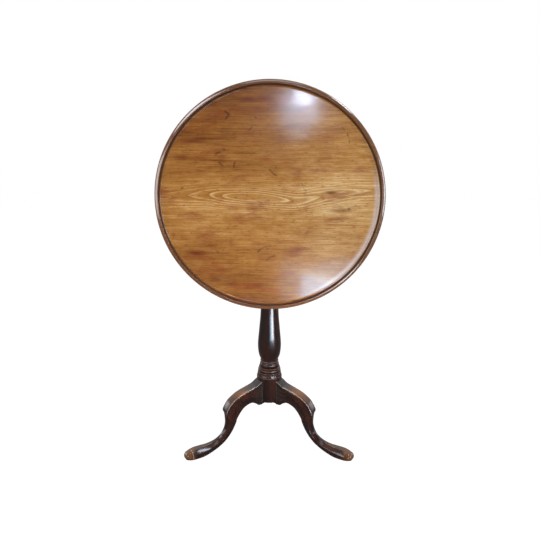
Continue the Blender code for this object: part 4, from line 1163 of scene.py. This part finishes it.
# Screws: countersunk, slotted by hand, each left at its own angle; head, shank and length of each kind
screwSizes = {
    "bearer": (0.005, 0.0024, 0.024), "catch": (0.003, 0.0013, 0.009), "strike": (0.0026, 0.0012, 0.01),
}
# The slot is measured by the head, the turns in radians
screwCut = {
    "rim": 0.0003, "rimDrop": 0.0002, "slotHalf": 0.13, "slotDepth": 0.22, "firstTurn": 1.1, "nextTurn": 2.4,
    "segments": 32,
}


def makeScrews(name, size, nodeNames, body, cut):
    head, shank, length = size
    profile = [(0, 0), (head - cut["rim"], 0), (head, -cut["rimDrop"]), (shank, -(head - shank)),
               (shank, -length + shank), (0, -length)]
    shape = turnPiece("screwShape", profile, cut["segments"], ironFinish)
    wide, deep = cut["slotHalf"] * head, cut["slotDepth"] * head
    carve(shape, block("screwSlot", (-2 * head, -wide, -deep), (2 * head, wide, head)))
    boxes = [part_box(node) for node in nodeNames]
    places = [((a.x + b.x) / 2, b.y, (a.z + b.z) / 2) for a, b in boxes]
    # The head faces +Y, so the slot's own turn is about the screw before it is laid over
    lay = Matrix.Rotation(-pi / 2, 3, "X")
    turns = [cut["firstTurn"] + cut["nextTurn"] * i for i in range(len(boxes))]
    spins = [tuple((lay @ Matrix.Rotation(turn, 3, "Z")).to_euler()) for turn in turns]
    piece = setOut(name, shape, places, spins, ironFinish)
    smoothFaces(piece)
    return mount(piece, body, "steel", *nodeNames)


for group, body in (("bearer", "top"), ("catch", "top"), ("strike", "cage")):
    names = sorted(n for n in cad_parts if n.startswith(f"{group}_screw"))
    makeScrews(f"{group}Screws", screwSizes[group], names, body, screwCut)
print("screws: set out")


# Stage: a plain pale floor, a white surround and soft lamps
stageLook = {
    "floor": "#F6F5F3", "floorRough": 0.9, "floorHalf": 5.0, "floorDrop": 0.0004, "glow": 0.9,
    "glossyFloor": 0.24, "white": 1.1, "ambient": 0.06, "front": 0.18, "frontEnd": -0.7, "backStart": 0.4,
}
lamps = (
    # name, place, aim, width, height, power, spread, tint
    ("keyRight", (0.21, -2.6, 1.045), (0.08, -0.16, 1.02), 0.12, 0.17, 4.2, 180, "#D5E6FF"),
    ("keyTail", (0.185, -2.6, 0.955), (0.08, -0.16, 0.97), 0.23, 0.15, 1.25, 180, "#BBDDFF"),
    ("keyTip", (0.18, -2.6, 0.845), (0.08, -0.16, 0.92), 0.11, 0.13, 0.35, 180, "#BBDDFF"),
    ("lowRight", (0.3, -1.62, 0.1), (0.25, -0.1, 0.35), 0.48, 0.2, 1.4, 180, "#B5DFFF"),
    ("lowCore", (0.295, -1.6, 0.066), (0.14, -0.17, 0.5), 0.27, 0.12, 2.2, 180, "#B5DFFF"),
    ("lowStem", (0.36, -0.64, 0.25), (0.0, -0.07, 0.37), 0.34, 0.12, 0.62, 60, "#F0F4FF"),
    ("windowLeft", (-1.5, -1.4, 0.7), (0.0, -0.1, 0.7), 1.4, 0.9, 15.5, 180, "#F8FAFF"),
    ("skyLeft", (-1.25, -1.7, 1.95), (0.0, -0.1, 0.8), 1.1, 0.75, 18.5, 180, "#FAFAFF"),
    ("skyFront", (0.05, -1.2, 2.3), (0.0, -0.15, 1.00), 0.9, 0.5, 3.5, 180, "#EEF3FF"),
    ("skyRight", (1.4, -0.8, 2.3), (-0.1, -0.15, 0.3), 0.62, 0.45, 19.5, 180, "#E6EEFF"),
    ("fillRight", (1.75, -1.05, 0.7), (0.0, -0.1, 0.65), 0.25, 0.9, 10.5, 180, "#E8F0FF"),
    ("backLeft", (-1.6, 0.6, 0.5), (-0.1, -0.1, 0.12), 0.4, 0.4, 1.8, 180, "#F4F7FF"),
    ("backRight", (1.6, 0.6, 0.5), (0.1, -0.1, 0.12), 0.4, 0.4, 1.2, 180, "#F4F7FF"),
    ("windowBehind", (0.0, 1.55, 2.55), (0.0, -0.05, 0.6), 2.2, 0.4, 22.0, 180, "#FBFCFF"),
)


def whiteShare(tree):
    # What the eye and clear things see as white, and what polish sees
    path = addNode(tree, "LightPath").node.outputs
    rays = {0: path["Is Camera Ray"], 1: path["Is Transmission Ray"]}
    return addNode(tree, "Math", rays, operation="ADD", use_clamp=True), path["Is Glossy Ray"]


def makeFloor(look):
    half, white = look["floorHalf"], look["white"]
    corners = [(-half, -half, 0), (half, -half, 0), (half, half, 0), (-half, half, 0)]
    floor = addPiece("floor", meshFrom("floor", corners, [(0, 1, 2, 3)]))
    floor.location.z = -look["floorDrop"]
    finish, tree, shader = newFinish("paleFloor")
    surface = {"Base Color": look["floor"], "Roughness": look["floorRough"], "Specular IOR Level": 0.0}
    for name, value in surface.items():
        feed(tree, shader.inputs[name], value)
    seen, glossy = whiteShare(tree)
    glowing = {0: seen, 1: look["glow"], 2: glossy}
    share = addNode(tree, "Math", glowing, operation="MULTIPLY_ADD", use_clamp=True)
    reflected = {0: glossy, 1: look["glossyFloor"] - white, 2: white}
    level = addNode(tree, "Math", reflected, operation="MULTIPLY_ADD")
    glow = addNode(tree, "Emission", {"Color": (1, 1, 1, 1), "Strength": level})
    mixed = addNode(tree, "MixShader", {0: share, 1: shader.outputs[0], 2: glow})
    feed(tree, tree.nodes["Material Output"].inputs["Surface"], mixed)
    dress(floor, finish)


def makeSurround(look):
    # The room in front of the table is dimmer than the white behind it, so the polish keeps its depth
    world = bpy.data.worlds.new("studio")
    world.use_nodes = True
    scene.world = world
    tree, ambient = world.node_tree, look["ambient"]
    seen, glossy = whiteShare(tree)
    ahead = addNode(tree, "SeparateXYZ", {"Vector": addNode(tree, "TexCoord", output="Generated")}, "Y")
    ends = (look["frontEnd"], look["backStart"], look["front"] - ambient, 1.0 - ambient)
    dim = addNode(tree, "MapRange", mapped(ahead, *ends))
    level = addNode(tree, "Math", {0: seen, 1: 1.0 - ambient, 2: ambient}, operation="MULTIPLY_ADD")
    level = addNode(tree, "Math", {0: glossy, 1: dim, 2: level}, operation="MULTIPLY_ADD")
    back = tree.nodes["Background"]
    feed(tree, back.inputs["Strength"], level)
    feed(tree, back.inputs["Color"], (1, 1, 1, 1))


def makeLamps():
    for name, place, aim, width, height, power, spread, tint in lamps:
        light = bpy.data.lights.new(name, "AREA")
        light.shape = "RECTANGLE"
        light.size, light.size_y, light.energy = width, height, power
        light.spread = radians(spread)
        light.color = hexColour(tint)[:3]
        lamp = bpy.data.objects.new(name, light)
        scene.collection.objects.link(lamp)
        lamp.location = place
        lamp.rotation_euler = (Vector(aim) - Vector(place)).to_track_quat("-Z", "Y").to_euler()
        lamp.visible_camera = False


makeFloor(stageLook)
makeSurround(stageLook)
makeLamps()
print("stage: floor, surround and lamps set")
